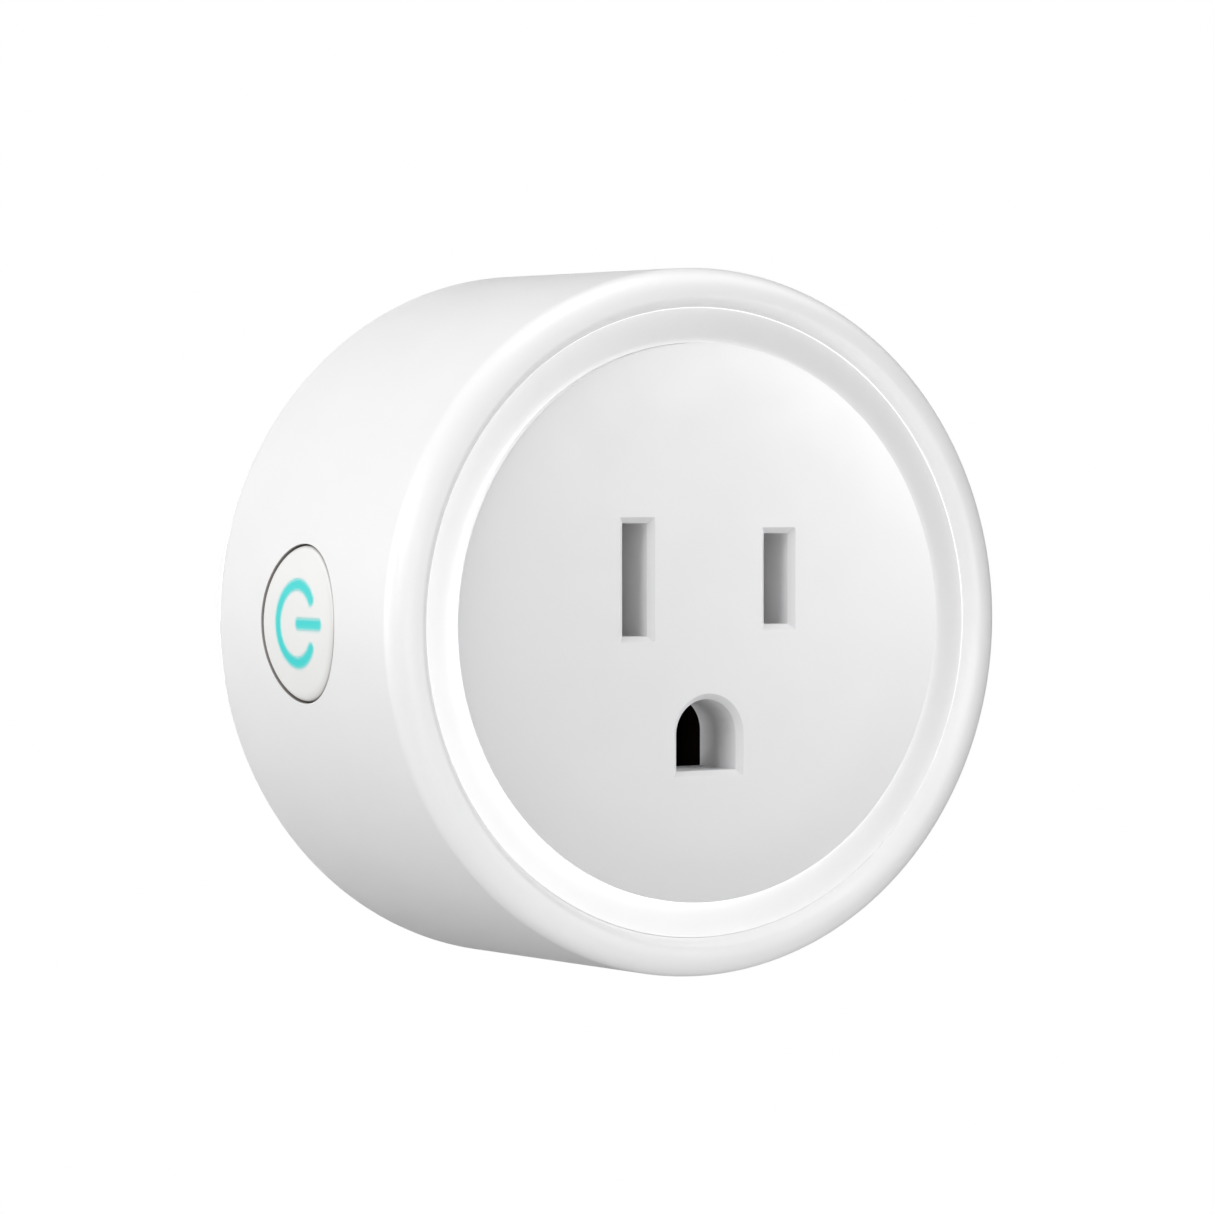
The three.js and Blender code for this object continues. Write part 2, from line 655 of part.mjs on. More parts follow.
// A pan-head screw along Y with its tip at tipY: the head faces the rear when side is 1, and the
// socket when side is -1.
function screw(x, z, seatY, tipY, side) {
  const { shank, head, headHeight, point } = SCREW;
  const crown = 0.4;
  return turnedAt(x, z, [
    [0, tipY],
    [shank * crown, tipY],
    [shank, tipY + side * point],
    [shank, seatY],
    [head, seatY],
    [head, seatY + side * (headHeight - crown)],
    [head - 2 * crown, seatY + side * headHeight],
    [0, seatY + side * headHeight],
  ]);
}

// ---------------------------------------------------------------- button

// Everything inside the side wall's outer surface, less a margin: it gives the button its face.
function wallCore(margin) {
  return turned([
    [0, 2],
    [wallRadius(2) - margin, 2],
    [wallRadius(-30) - margin, -30],
    [0, -30],
  ], 2 * ROUND);
}

// The power symbol, as outlines in (y, z): a ring open towards the front, and a bar in the gap.
function iconOutlines(stroke) {
  const half = stroke / 2;
  const from = -Math.PI + ICON.gapAngle;
  const to = Math.PI - ICON.gapAngle;
  const ring = new THREE.Shape();
  ring.absarc(BUTTON.y, 0, ICON.radius + half, from, to, false);
  ring.absarc(BUTTON.y, 0, ICON.radius - half, to, from, true);
  const bar = rectangle(BUTTON.y - ICON.barTo, BUTTON.y - ICON.barFrom, -half, half);
  return [ring, bar];
}

function buttonCap() {
  const { y, radius, sunk, faceX, bore, flange, flangeFront, rear } = BUTTON;
  const outer = -SHELL.rearRadius - 1;
  const plug = sidePrism(circle(y, 0, radius), outer, rear, MEDIUM_ROUND);
  const collar = sidePrism(circle(y, 0, flange), flangeFront, rear, MEDIUM_ROUND);
  const face = join(plug.intersect(wallCore(sunk)), collar);
  const hollow = sidePrism(circle(y, 0, bore), faceX, rear + 1, MEDIUM_ROUND);
  const slots = iconOutlines(ICON.stroke + 2 * ICON.clearance).map((shape) =>
    sidePrism(shape, outer, faceX + 1));
  return cut(face, hollow, ...slots);
}

function iconLightGuide() {
  const { radius, front, rear, stem, stemRear, sunk } = GUIDE;
  const outer = -SHELL.rearRadius - 1;
  const overlap = 0.2;
  const ridges = iconOutlines(ICON.stroke).map((shape) =>
    sidePrism(shape, outer, front + overlap).intersect(wallCore(sunk)));
  const disc = sidePrism(circle(BUTTON.y, 0, radius), front, rear, MEDIUM_ROUND);
  const foot = sidePrism(circle(BUTTON.y, 0, stem), rear - overlap, stemRear);
  return join(disc, foot, ...ridges);
}

function switchBase() {
  const { half, front, rear, pocket, pocketDepth } = SWITCH;
  const body = box(front, rear, BUTTON.y - half, BUTTON.y + half, -half, half);
  return cut(body, sidePrism(circle(BUTTON.y, 0, pocket), front - 1, front + pocketDepth));
}

function switchPlunger() {
  return sidePrism(circle(BUTTON.y, 0, PLUNGER.radius), PLUNGER.front, PLUNGER.rear);
}

function led(z) {
  const rear = BUTTON_BOARD.front - GAP;
  const halfWidth = LED.width / 2;
  const halfHeight = LED.height / 2;
  const [y0, y1] = [BUTTON.y - halfWidth, BUTTON.y + halfWidth];
  return box(rear - LED.depth, rear, y0, y1, z - halfHeight, z + halfHeight);
}

// ---------------------------------------------------------------- assembly

const smartPlug = new THREE.Group();
smartPlug.name = 'smart_plug';

function section(...pieces) {
  const group = new THREE.Group();
  pieces.forEach(([name, solid, look]) => {
    const material = new THREE.MeshStandardMaterial({ ...look, flatShading: true });
    const mesh = new THREE.Mesh(toGeometry(solid), material);
    mesh.name = name;
    group.add(mesh);
  });
  smartPlug.add(group);
}

section(
  ['side_shell', sideShell(), WHITE_GLOSS],
  ['front_ring', frontRing(), WHITE_GLOSS],
  ['socket_plate', socketPlate(), WHITE_SATIN],
  ['rear_cover', rearCover(), WHITE_SATIN],
);

section(
  ['neutral_blade', blade(-BLADE_PITCH / 2, BLADE.neutralWidth), NICKEL],
  ['line_blade', blade(BLADE_PITCH / 2, BLADE.width), NICKEL],
  ['ground_pin', groundPin(), BRASS],
  ['ground_strap', groundStrap(), BRASS],
);

section(
  ['socket_carrier', socketCarrier(), DARK_PLASTIC],
  ['carrier_cover', carrierCover(), DARK_PLASTIC],
  ['neutral_contact', bladeContact(-BLADE_PITCH / 2), BRASS],
  ['line_contact', bladeContact(BLADE_PITCH / 2), BRASS],
  ['ground_contact', groundContact(), BRASS],
  ...CARRIER_SCREW_Z.map((z, i) => [
    `carrier_screw_${i + 1}`,
    screw(0, z, CARRIER_COVER.rear + GAP, CARRIER_SCREW_TIP, 1),
    STEEL,
  ]),
);

section(
  ['main_board', mainBoard(), BOARD_GREEN],
  ['relay_base', relayBase(RELAY), DARK_PLASTIC],
  ['relay_case', relayCase(RELAY), RELAY_BLUE],
  ['bulk_capacitor', capacitor(BULK_CAPACITOR), DARK_PLASTIC],
  ['filter_capacitor', capacitor(FILTER_CAPACITOR), DARK_PLASTIC],
  ['power_inductor', inductor(INDUCTOR), FERRITE],
  ['varistor', varistor(VARISTOR), VARISTOR_BLUE],
  ['fuse', fuse(FUSE), DARK_PLASTIC],
  ['wifi_board', wifiBoard(WIFI_BOARD), BOARD_GREEN],
  ['wifi_shield', wifiShield(WIFI_SHIELD), STEEL],
  ['bridge_rectifier', rearBlock(BRIDGE_RECTIFIER), DARK_PLASTIC],
  ['power_ic', rearBlock(POWER_IC), DARK_PLASTIC],
  ['neutral_bus_bar', rearBlock(NEUTRAL_BUS_BAR), BRASS],
  ['line_bus_bar', rearBlock(LINE_BUS_BAR), BRASS],
  ...BOARD_SCREWS.map(([x, z], i) => [
    `board_screw_${i + 1}`,
    screw(x, z, MOUNT_Y, BOARD_SCREW_TIP, -1),
    STEEL,
  ]),
);

section(
  ['button_board', buttonBoard(BUTTON_BOARD), BOARD_GREEN],
  ['switch_base', switchBase(), DARK_PLASTIC],
  ['led_upper', led(LED.z), LED_LENS],
  ['led_lower', led(-LED.z), LED_LENS],
  ['switch_plunger', switchPlunger(), DARK_PLASTIC],
  ['button_cap', buttonCap(), WHITE_GLOSS],
  ['icon_light_guide', iconLightGuide(), CYAN_GUIDE],
);

export default smartPlug;
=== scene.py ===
"""Round smart plug with a three-slot socket and a lit push button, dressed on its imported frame.

Sizes in the classes are millimetres in the frame's own axes: the socket faces -Y, the prongs
point to +Y, +Z is up and the flat rear face lies at y = 0. Meshes are stored in metres.
"""

import logging
import math
from dataclasses import dataclass, field
from enum import Enum
from typing import Sequence

import bmesh
import bpy
import numpy as np
from mathutils import Matrix, Vector
from mathutils.geometry import delaunay_2d_cdt


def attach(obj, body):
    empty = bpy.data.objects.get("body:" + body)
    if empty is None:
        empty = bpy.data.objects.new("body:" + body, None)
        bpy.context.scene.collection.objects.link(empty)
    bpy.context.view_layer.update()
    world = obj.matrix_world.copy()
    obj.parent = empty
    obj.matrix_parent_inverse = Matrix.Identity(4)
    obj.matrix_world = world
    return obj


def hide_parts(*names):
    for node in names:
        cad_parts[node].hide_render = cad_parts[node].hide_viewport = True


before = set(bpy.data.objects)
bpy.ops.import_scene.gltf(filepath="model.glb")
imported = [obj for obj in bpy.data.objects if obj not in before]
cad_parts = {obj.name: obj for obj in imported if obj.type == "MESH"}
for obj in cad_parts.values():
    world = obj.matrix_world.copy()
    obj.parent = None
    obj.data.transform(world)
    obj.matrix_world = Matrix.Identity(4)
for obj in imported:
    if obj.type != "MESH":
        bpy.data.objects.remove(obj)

MM = 0.001
LOG = logging.getLogger("smart_plug")
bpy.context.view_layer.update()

Tree = bpy.types.NodeTree
Socket = bpy.types.NodeSocket
Material = bpy.types.Material
Piece = bpy.types.Object


class Slot(Enum):
    """The record's material slots, named for the new pieces; nothing reads them."""

    SHELL = "white_shell"
    FACE = "white_face"
    LIGHT_GUIDE = "cyan_light_guide"
    NICKEL = "nickel_plate"
    BRASS = "brass_plate"


class Body(Enum):
    """The bodies of the frame that new pieces ride on."""

    PLUG = "plug"
    BUTTON = "button"


# ---------------------------------------------------------------- outlines


def soften(
    corners: Sequence[tuple[float, float, float]],
    steps: int = 6,
    closed: bool = True,
    support: float = 0.05,
) -> np.ndarray:
    """Rounds the corners of an outline.

    Each corner becomes an arc tangent to its two sides. Its centre lies on the bisector at
    radius / sin(half the corner's angle), and its ends lie radius / tan(half the angle) along the
    sides. A support point beyond each end keeps the neighbouring face flat.

    Args:
        corners: (u, v, radius) of each corner; radius 0 leaves it sharp.
        steps: Segments in each arc.
        closed: Whether the last corner joins the first.
        support: Distance of the support points beyond an arc's ends.

    Returns:
        The outline's points, one (u, v) to a row.
    """
    points = np.array([corner[:2] for corner in corners], float)
    pieces: list[np.ndarray] = []
    for number, (u, v, radius) in enumerate(corners):
        here = np.array([u, v])
        at_end = not closed and number in (0, len(corners) - 1)
        if radius <= 0 or at_end:
            pieces.append(here[None])
            continue
        back = points[number - 1] - here
        ahead = points[(number + 1) % len(corners)] - here
        back, ahead = back / np.linalg.norm(back), ahead / np.linalg.norm(ahead)
        half = math.acos(np.clip(back @ ahead, -1, 1)) / 2
        reach = radius / math.tan(half)
        bisector = (back + ahead) / np.linalg.norm(back + ahead)
        centre = here + bisector * radius / math.sin(half)
        first, last = here + back * reach - centre, here + ahead * reach - centre
        sweep = math.pi - 2 * half
        share = np.linspace(0, 1, steps + 1)[:, None]
        turned_ends = np.sin((1 - share) * sweep) * first + np.sin(share * sweep) * last
        before, after = here + back * (reach + support), here + ahead * (reach + support)
        pieces += [before[None], centre + turned_ends / math.sin(sweep), after[None]]
    return np.concatenate(pieces)


def ellipse_arc(
    centre: tuple[float, float], radii: tuple[float, float], start: float, stop: float, steps: int
) -> np.ndarray:
    """Points of an elliptical arc: centre plus (radius_u cos t, radius_v sin t).

    Args:
        centre: The ellipse's centre (u, v).
        radii: Its two radii.
        start: First t, in degrees.
        stop: Last t.
        steps: Segments between them.

    Returns:
        The points, (u, v) to a row.
    """
    angle = np.radians(np.linspace(start, stop, steps + 1))
    u, v = centre[0] + radii[0] * np.cos(angle), centre[1] + radii[1] * np.sin(angle)
    return np.stack([u, v], axis=-1)


def circle(radius: float, count: int, centre: tuple[float, float] = (0.0, 0.0)) -> np.ndarray:
    """A closed circle of count points, counter-clockwise from the first axis."""
    return ellipse_arc(centre, (radius, radius), 0, 360, count)[:-1]


def rectangle(
    centre: tuple[float, float], half_u: float, half_v: float, corner: float, side_steps: int = 8
) -> np.ndarray:
    """A closed rectangle with small round corners and evenly spaced points along its sides.

    Args:
        centre: Middle of the rectangle.
        half_u: Half its width.
        half_v: Half its height.
        corner: Radius of its corners.
        side_steps: Segments along each side.

    Returns:
        Its points, counter-clockwise.
    """
    signs = [(1, -1), (1, 1), (-1, 1), (-1, -1)]
    arcs = [
        ellipse_arc(
            (centre[0] + su * (half_u - corner), centre[1] + sv * (half_v - corner)),
            (corner, corner), 90 * k - 90, 90 * k, 4,
        )
        for k, (su, sv) in enumerate(signs)
    ]
    share = np.linspace(0, 1, side_steps + 1)[1:-1, None]
    sides = [arcs[k][-1] * (1 - share) + arcs[(k + 1) % 4][0] * share for k in range(4)]
    return np.concatenate([part for pair in zip(arcs, sides) for part in pair])


def inside(points: np.ndarray, outline: np.ndarray) -> np.ndarray:
    """Whether each point lies in a closed outline: a ray along +u crosses it an odd count of times.

    Args:
        points: (u, v) points.
        outline: The closed outline's points.

    Returns:
        True for each point inside.
    """
    u, v = points[:, 0, None], points[:, 1, None]
    a, b = outline, np.roll(outline, -1, axis=0)
    spans = (a[:, 1] > v) != (b[:, 1] > v)
    rise = np.where(b[:, 1] == a[:, 1], 1.0, b[:, 1] - a[:, 1])
    crossing = a[:, 0] + (v - a[:, 1]) * (b[:, 0] - a[:, 0]) / rise
    return (spans & (u < crossing)).sum(axis=1) % 2 == 1


def distance_to(points: np.ndarray, outlines: Sequence[np.ndarray]) -> np.ndarray:
    """Distance of each point from the nearest segment of any closed outline.

    Args:
        points: (u, v) points.
        outlines: Closed outlines.

    Returns:
        One distance for each point.
    """
    a = np.concatenate(outlines)
    b = np.concatenate([np.roll(outline, -1, axis=0) for outline in outlines])
    along = b - a
    offset = points[:, None] - a[None]
    share = np.clip((offset * along).sum(-1) / np.maximum((along**2).sum(-1), 1e-12), 0, 1)
    return np.linalg.norm(offset - share[..., None] * along, axis=-1).min(axis=1)


def fill(
    outer: np.ndarray, holes: Sequence[np.ndarray], spacing: float = 0.0
) -> tuple[np.ndarray, np.ndarray]:
    """Covers the region between an outline and its holes with triangles.

    Where spacing is given, a triangular lattice of that pitch is added inside, so that the region
    can be lifted on to a curved surface. The triangles are the constrained Delaunay ones.

    Args:
        outer: Outline of the region.
        holes: Outlines left open.
        spacing: Pitch of the lattice, or 0 for none.

    Returns:
        The points and the corner numbers of the triangles.
    """
    outlines = [outer, *holes]
    points = np.concatenate(outlines)
    if spacing:
        low, high = outer.min(0), outer.max(0)
        v_rows = np.arange(low[1], high[1], spacing * math.sqrt(3) / 2)
        u_columns = np.arange(low[0], high[0], spacing)
        u, v = np.meshgrid(u_columns, v_rows)
        u = u + np.where(np.arange(len(v_rows)) % 2, spacing / 2, 0.0)[:, None]
        lattice = np.stack([u.ravel(), v.ravel()], axis=-1)
        keep = inside(lattice, outer) & (distance_to(lattice, outlines) > 0.45 * spacing)
        for hole in holes:
            keep &= ~inside(lattice, hole)
        points = np.concatenate([points, lattice[keep]])
    starts = np.cumsum([0] + [len(outline) for outline in outlines])
    rings = [np.arange(start, end) for start, end in zip(starts, starts[1:])]
    edges = np.concatenate([np.stack([ring, np.roll(ring, -1)], axis=-1) for ring in rings])
    made = delaunay_2d_cdt([Vector(p) for p in points.tolist()], edges.tolist(), [], 0, 1e-6)
    origin = np.array([ids[0] for ids in made[3]])
    triangles = origin[np.array(made[2])]
    middles = points[triangles].mean(axis=1)
    keep = inside(middles, outer)
    for hole in holes:
        keep &= ~inside(middles, hole)
    return points, triangles[keep]


# ---------------------------------------------------------------- surfaces


def turned(profile: np.ndarray, count: int, centre: tuple[float, float] = (0.0, 0.0)) -> np.ndarray:
    """Turns a (radius, y) profile about a line parallel to Y.

    A point at angle t is (centre_x - radius cos t, y, centre_z + radius sin t).

    Args:
        profile: (radius, y) points.
        count: Columns round the axis.
        centre: The axis' place in (x, z).

    Returns:
        A grid of points, one row for each profile point.
    """
    angle = 2 * np.pi * np.arange(count) / count
    radius, y = profile[:, 0, None], profile[:, 1, None]
    x, z = centre[0] - radius * np.cos(angle), centre[1] + radius * np.sin(angle)
    return np.stack([x, np.broadcast_to(y, x.shape), z], axis=-1)


def face_points(outline: np.ndarray, y: np.ndarray | float) -> np.ndarray:
    """Points (x, y, z) of an outline drawn in (x, z) at depth y."""
    level = np.broadcast_to(y, outline.shape[:-1])
    return np.stack([outline[..., 0], level, outline[..., 1]], axis=-1)


def side_points(outline: np.ndarray, x: np.ndarray | float) -> np.ndarray:
    """Points (x, y, z) of an outline drawn in (y, z) at depth x."""
    level = np.broadcast_to(x, outline.shape[:-1])
    return np.stack([level, outline[..., 0], outline[..., 1]], axis=-1)


def offset(outline: np.ndarray, distance: float) -> np.ndarray:
    """Moves a closed outline outwards along its normals.

    Args:
        outline: Its points, counter-clockwise.
        distance: How far.

    Returns:
        The moved points.
    """
    along = np.roll(outline, -1, axis=0) - np.roll(outline, 1, axis=0)
    along /= np.linalg.norm(along, axis=1, keepdims=True)
    return outline + distance * np.stack([along[:, 1], -along[:, 0]], axis=-1)


@dataclass
class Skin:
    """Gathers grids and triangles, in millimetres, and welds them into one closed mesh."""

    points: list[np.ndarray] = field(default_factory=list)
    faces: list[np.ndarray] = field(default_factory=list)
    count: int = 0

    def grid(self, points: np.ndarray, wrap: bool = True) -> None:
        """Adds a grid of quads.

        Args:
            points: (rows, columns, 3) array.
            wrap: Whether the last column joins the first.
        """
        rows, columns = points.shape[:2]
        index = np.arange(rows * columns).reshape(rows, columns)
        if wrap:
            index = np.hstack([index, index[:, :1]])
        corners = [index[:-1, :-1], index[:-1, 1:], index[1:, 1:], index[1:, :-1]]
        self._add(points.reshape(-1, 3), np.stack(corners, axis=-1).reshape(-1, 4))

    def triangles(self, points: np.ndarray, corners: np.ndarray) -> None:
        """Adds triangles as four-cornered faces whose last corner is repeated."""
        self._add(points, np.hstack([corners, corners[:, -1:]]))

    def _add(self, points: np.ndarray, corners: np.ndarray) -> None:
        """Appends points and the faces that number them."""
        self.points.append(points)
        self.faces.append(corners + self.count)
        self.count += len(points)

    def build(self, name: str, crease: float = 32.0) -> Piece:
        """Makes the object: merges equal points, drops folded corners and turns faces outwards.

        Args:
            name: Name of the piece.
            crease: Edges sharper than this many degrees stay crisp.

        Returns:
            The object, at the origin, in metres.
        """
        points = np.concatenate(self.points)
        keys = np.round(points * 1e5).astype(np.int64)
        _, first, inverse = np.unique(keys, axis=0, return_index=True, return_inverse=True)
        corners = inverse.reshape(-1)[np.concatenate(self.faces)]
        keep = corners != np.roll(corners, -1, axis=1)
        sizes = keep.sum(axis=1)
        corners, keep, sizes = corners[sizes > 2], keep[sizes > 2], sizes[sizes > 2]
        mesh = bpy.data.meshes.new(name)
        mesh.vertices.add(len(first))
        mesh.vertices.foreach_set("co", (points[first] * MM).astype(np.float32).ravel())
        mesh.loops.add(int(sizes.sum()))
        mesh.loops.foreach_set("vertex_index", corners[keep].astype(np.int32))
        mesh.polygons.add(len(sizes))
        starts = np.concatenate([[0], np.cumsum(sizes)[:-1]])
        mesh.polygons.foreach_set("loop_start", starts.astype(np.int32))
        mesh.update(calc_edges=True)
        mesh.validate()
        work = bmesh.new()
        work.from_mesh(mesh)
        bmesh.ops.recalc_face_normals(work, faces=work.faces)
        loose = sum(1 for edge in work.edges if not edge.is_manifold)
        work.to_mesh(mesh)
        work.free()
        if loose:
            LOG.warning("%s has %d open edges", name, loose)
        mesh.shade_smooth()
        mesh.set_sharp_from_angle(angle=math.radians(crease))
        piece = bpy.data.objects.new(name, mesh)
        bpy.context.scene.collection.objects.link(piece)
        return piece


def fit_piece(piece: Piece, material: Material, slot: Slot, body: Body, *nodes: str) -> None:
    """Dresses a new piece, lets it ride on its body and stand for its CAD nodes.

    Args:
        piece: The piece.
        material: What it is made of.
        slot: Its material slot's name in the library; not used.
        body: The body that carries it.
        nodes: The CAD nodes it stands for.
    """
    piece.data.materials.append(material)
    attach(piece, body.value)
    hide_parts(*nodes)
    LOG.info("%s: %d faces, stands for %s", piece.name, len(piece.data.polygons), ", ".join(nodes))


def vertices_mm(piece: Piece) -> np.ndarray:
    """The piece's vertices.

    Args:
        piece: A mesh object.

    Returns:
        Its points in millimetres, (x, y, z) to a row.
    """
    co = np.zeros(len(piece.data.vertices) * 3, np.float32)
    piece.data.vertices.foreach_get("co", co)
    return co.reshape(-1, 3) / MM


def write_level(piece: Piece, name: str, level: np.ndarray) -> None:
    """Writes one number for each vertex, held to 0..1, as an attribute that a material reads."""
    values = np.clip(level, 0, 1).astype(np.float32)
    piece.data.attributes.new(name, "FLOAT", "POINT").data.foreach_set("value", values)


# ---------------------------------------------------------------- finishes


def colour_of(hex_colour: str) -> tuple[float, float, float, float]:
    """Turns an sRGB colour into a linear one.

    Args:
        hex_colour: Such as "#f4f4f2".

    Returns:
        Red, green, blue and alpha, from 0 to 1.
    """
    channels = [int(hex_colour[k : k + 2], 16) / 255 for k in (1, 3, 5)]
    linear = [c / 12.92 if c <= 0.04045 else ((c + 0.055) / 1.055) ** 2.4 for c in channels]
    return (*linear, 1.0)


def per_metre(size_mm: float) -> float:
    """The texture scale whose pattern repeats about every size_mm millimetres."""
    return 1 / (size_mm * MM)


def add_node(
    tree: Tree, kind: str, sockets: dict[str | int, object] | None = None, **settings: object
) -> bpy.types.Node:
    """Adds a node with its settings and links.

    Args:
        tree: The node tree.
        kind: The node's type name.
        sockets: Input name or number to a value, or to an output socket that is linked to it.
        settings: Properties of the node itself.

    Returns:
        The new node.
    """
    node = tree.nodes.new(kind)
    for name, value in settings.items():
        setattr(node, name, value)
    for key, value in (sockets or {}).items():
        if isinstance(value, Socket):
            tree.links.new(value, node.inputs[key])
        else:
            node.inputs[key].default_value = value
    return node


def noise(tree: Tree, place: Socket, size_mm: float, detail: float) -> Socket:
    """A cloudy pattern from 0 to 1 whose lumps are about size_mm across."""
    sockets = {"Vector": place, "Scale": per_metre(size_mm), "Detail": detail}
    return add_node(tree, "ShaderNodeTexNoise", sockets).outputs["Fac"]


def blend(tree: Tree, share: Socket, first: object, second: object) -> Socket:
    """The first colour where share is 0, the second where it is 1."""
    sockets = {0: share, 6: first, 7: second}
    return add_node(tree, "ShaderNodeMix", sockets, data_type="RGBA").outputs[2]


def attribute(tree: Tree, name: str) -> Socket:
    """A number that the mesh stores at its vertices, or 0 where it has none of that name."""
    return add_node(tree, "ShaderNodeAttribute", attribute_name=name).outputs["Fac"]


@dataclass(frozen=True)
class Finish:
    """A surface: two close tones that drift into each other, a grain and a gloss that varies."""

    name: str
    colour: str
    shade: str
    roughness: float
    roughness_drift: float = 0.04
    metallic: float = 0.0
    ior: float = 1.5
    drift_mm: float = 9.0
    grain_mm: float = 0.3
    grain_depth_mm: float = 0.004
    grain_strength: float = 0.2
    stretch: tuple[float, float, float] = (1.0, 1.0, 1.0)

    def start(self) -> tuple[Material, Tree, Socket]:
        """Starts an empty material.

        Returns:
            The material, its tree and the object coordinates, stretched along the grain.
        """
        material = bpy.data.materials.new(self.name)
        material.use_nodes = True
        material.node_tree.nodes.clear()
        tree = material.node_tree
        place = add_node(tree, "ShaderNodeTexCoord").outputs["Object"]
        stretched = add_node(tree, "ShaderNodeMapping", {"Vector": place, "Scale": self.stretch})
        material.diffuse_color = colour_of(self.colour)
        return material, tree, stretched.outputs["Vector"]

    def tone(self, tree: Tree, place: Socket) -> Socket:
        """The colour: slow drift between the two tones."""
        drift = noise(tree, place, self.drift_mm, 3.0)
        return blend(tree, drift, colour_of(self.colour), colour_of(self.shade))

    def relief(self, tree: Tree, place: Socket) -> Socket:
        """The bump: an even grain.

        Args:
            tree: The material's tree.
            place: The coordinates to draw at.

        Returns:
            The surface's normal.
        """
        sockets = {
            "Height": noise(tree, place, self.grain_mm, 2.0),
            "Strength": self.grain_strength,
            "Distance": self.grain_depth_mm * MM,
        }
        return add_node(tree, "ShaderNodeBump", sockets).outputs["Normal"]

    def gloss(self, tree: Tree, place: Socket) -> Socket:
        """The roughness: slow patches a little glossier or duller than the mean.

        Args:
            tree: The material's tree.
            place: The coordinates to draw at.

        Returns:
            The roughness.
        """
        sockets = {
            "Value": noise(tree, place, self.drift_mm / 3, 4.0),
            "From Min": 0.3,
            "From Max": 0.7,
            "To Min": self.roughness - self.roughness_drift,
            "To Max": self.roughness + self.roughness_drift,
        }
        return add_node(tree, "ShaderNodeMapRange", sockets).outputs["Result"]

    def shader_inputs(self, tree: Tree, place: Socket) -> dict[str | int, object]:
        """What the shader is fed with.

        Args:
            tree: The material's tree.
            place: The coordinates to draw at.

        Returns:
            A value or a socket for each of its inputs.
        """
        inputs: dict[str | int, object] = {
            "Base Color": self.tone(tree, place),
            "Roughness": self.gloss(tree, place),
            "Normal": self.relief(tree, place),
            "Metallic": self.metallic,
        }
        if not self.metallic:
            inputs["IOR"] = self.ior
        return inputs

    def material(self) -> Material:
        """Builds the material.

        Returns:
            The finished material.
        """
        material, tree, place = self.start()
        shader = add_node(tree, "ShaderNodeBsdfPrincipled", self.shader_inputs(tree, place))
        add_node(tree, "ShaderNodeOutputMaterial", {"Surface": shader.outputs["BSDF"]})
        return material


@dataclass(frozen=True)
class GapShadePlastic(Finish):
    """Plastic with painted shade beside a narrow gap, where the attribute "painted_gap_shade" rises
    from 0 to 1.
    """

    shadow: str = "#8f8986"

    def tone(self, tree: Tree, place: Socket) -> Socket:
        """The plain plastic's colour, with the gap's painted shade over it."""
        base = super().tone(tree, place)
        return blend(tree, attribute(tree, "painted_gap_shade"), base, colour_of(self.shadow))


@dataclass(frozen=True)
class LitPlastic(GapShadePlastic):
    """Plastic that a light behind it colours where the attribute "lit" rises from 0 to 1."""

    light: str = "#47d4d1"
    strength: float = 0.115

    def shader_inputs(self, tree: Tree, place: Socket) -> dict[str | int, object]:
        """The plain plastic's inputs, with the lit colour over them.

        Args:
            tree: The material's tree.
            place: The coordinates to draw at.

        Returns:
            A value or a socket for each of the shader's inputs.
        """
        inputs = super().shader_inputs(tree, place)
        lit = attribute(tree, "lit")
        glow = add_node(tree, "ShaderNodeMath", {0: lit, 1: self.strength}, operation="MULTIPLY")
        return {
            **inputs,
            "Base Color": blend(tree, lit, inputs["Base Color"], colour_of(self.light)),
            "Emission Color": colour_of(self.light),
            "Emission Strength": glow.outputs[0],
        }


@dataclass(frozen=True)
class BoardLaminate(Finish):
    """Glass-epoxy board under green solder mask: copper tracks show as paler raised bands."""

    track: str = "#2f7d4c"
    track_mm: float = 2.4

    def tone(self, tree: Tree, place: Socket) -> Socket:
        """The mask's green, paler over the tracks."""
        base = super().tone(tree, place)
        return blend(tree, self.tracks(tree, place), base, colour_of(self.track))

    def tracks(self, tree: Tree, place: Socket) -> Socket:
        """The tracks: cell borders of a square-metric cell pattern.

        Args:
            tree: The material's tree.
            place: The coordinates to draw at.

        Returns:
            1 on a track and 0 between.
        """
        cells = add_node(
            tree, "ShaderNodeTexVoronoi",
            {"Vector": place, "Scale": per_metre(self.track_mm), "Randomness": 0.65},
            feature="F1", distance="CHEBYCHEV",
        )
        sockets = {"Value": cells.outputs["Distance"], "From Min": 0.30, "From Max": 0.34}
        return add_node(tree, "ShaderNodeMapRange", sockets).outputs["Result"]


# Injection-moulded glossy polycarbonate: soft white with a faint orange-peel from the tool, and
# painted shade beside the button's gap.
SHELL_PLASTIC = GapShadePlastic(
    "moulded_polycarbonate_gloss", "#f3f3f3", "#f0f0f0", 0.42, 0.03, ior=1.58, grain_mm=0.45,
    grain_depth_mm=0.003, grain_strength=0.12,
)
# The same resin from a spark-eroded tool: a fine even matt; its 0.05 mm grain is drawn at 0.25 mm.
FACE_PLASTIC = Finish(
    "moulded_polycarbonate_satin", "#f2f2f3", "#efeff0", 0.46, 0.03, ior=1.58, grain_mm=0.25,
    grain_depth_mm=0.004, grain_strength=0.16,
)
REAR_PLASTIC = Finish(
    "moulded_polycarbonate_matt", "#eeeeed", "#e9e9e8", 0.55, 0.04, ior=1.58, grain_mm=0.3,
    grain_depth_mm=0.008, grain_strength=0.3,
)
# Thin white cap over a lamp: the light colours it only round the symbol, and painted shade colours
# its side and a crescent inside its edge.
CAP_PLASTIC = LitPlastic(
    "backlit_polycarbonate", "#f5f5f4", "#f0f0ee", 0.36, 0.03, ior=1.58, grain_mm=0.35,
    grain_strength=0.12,
)
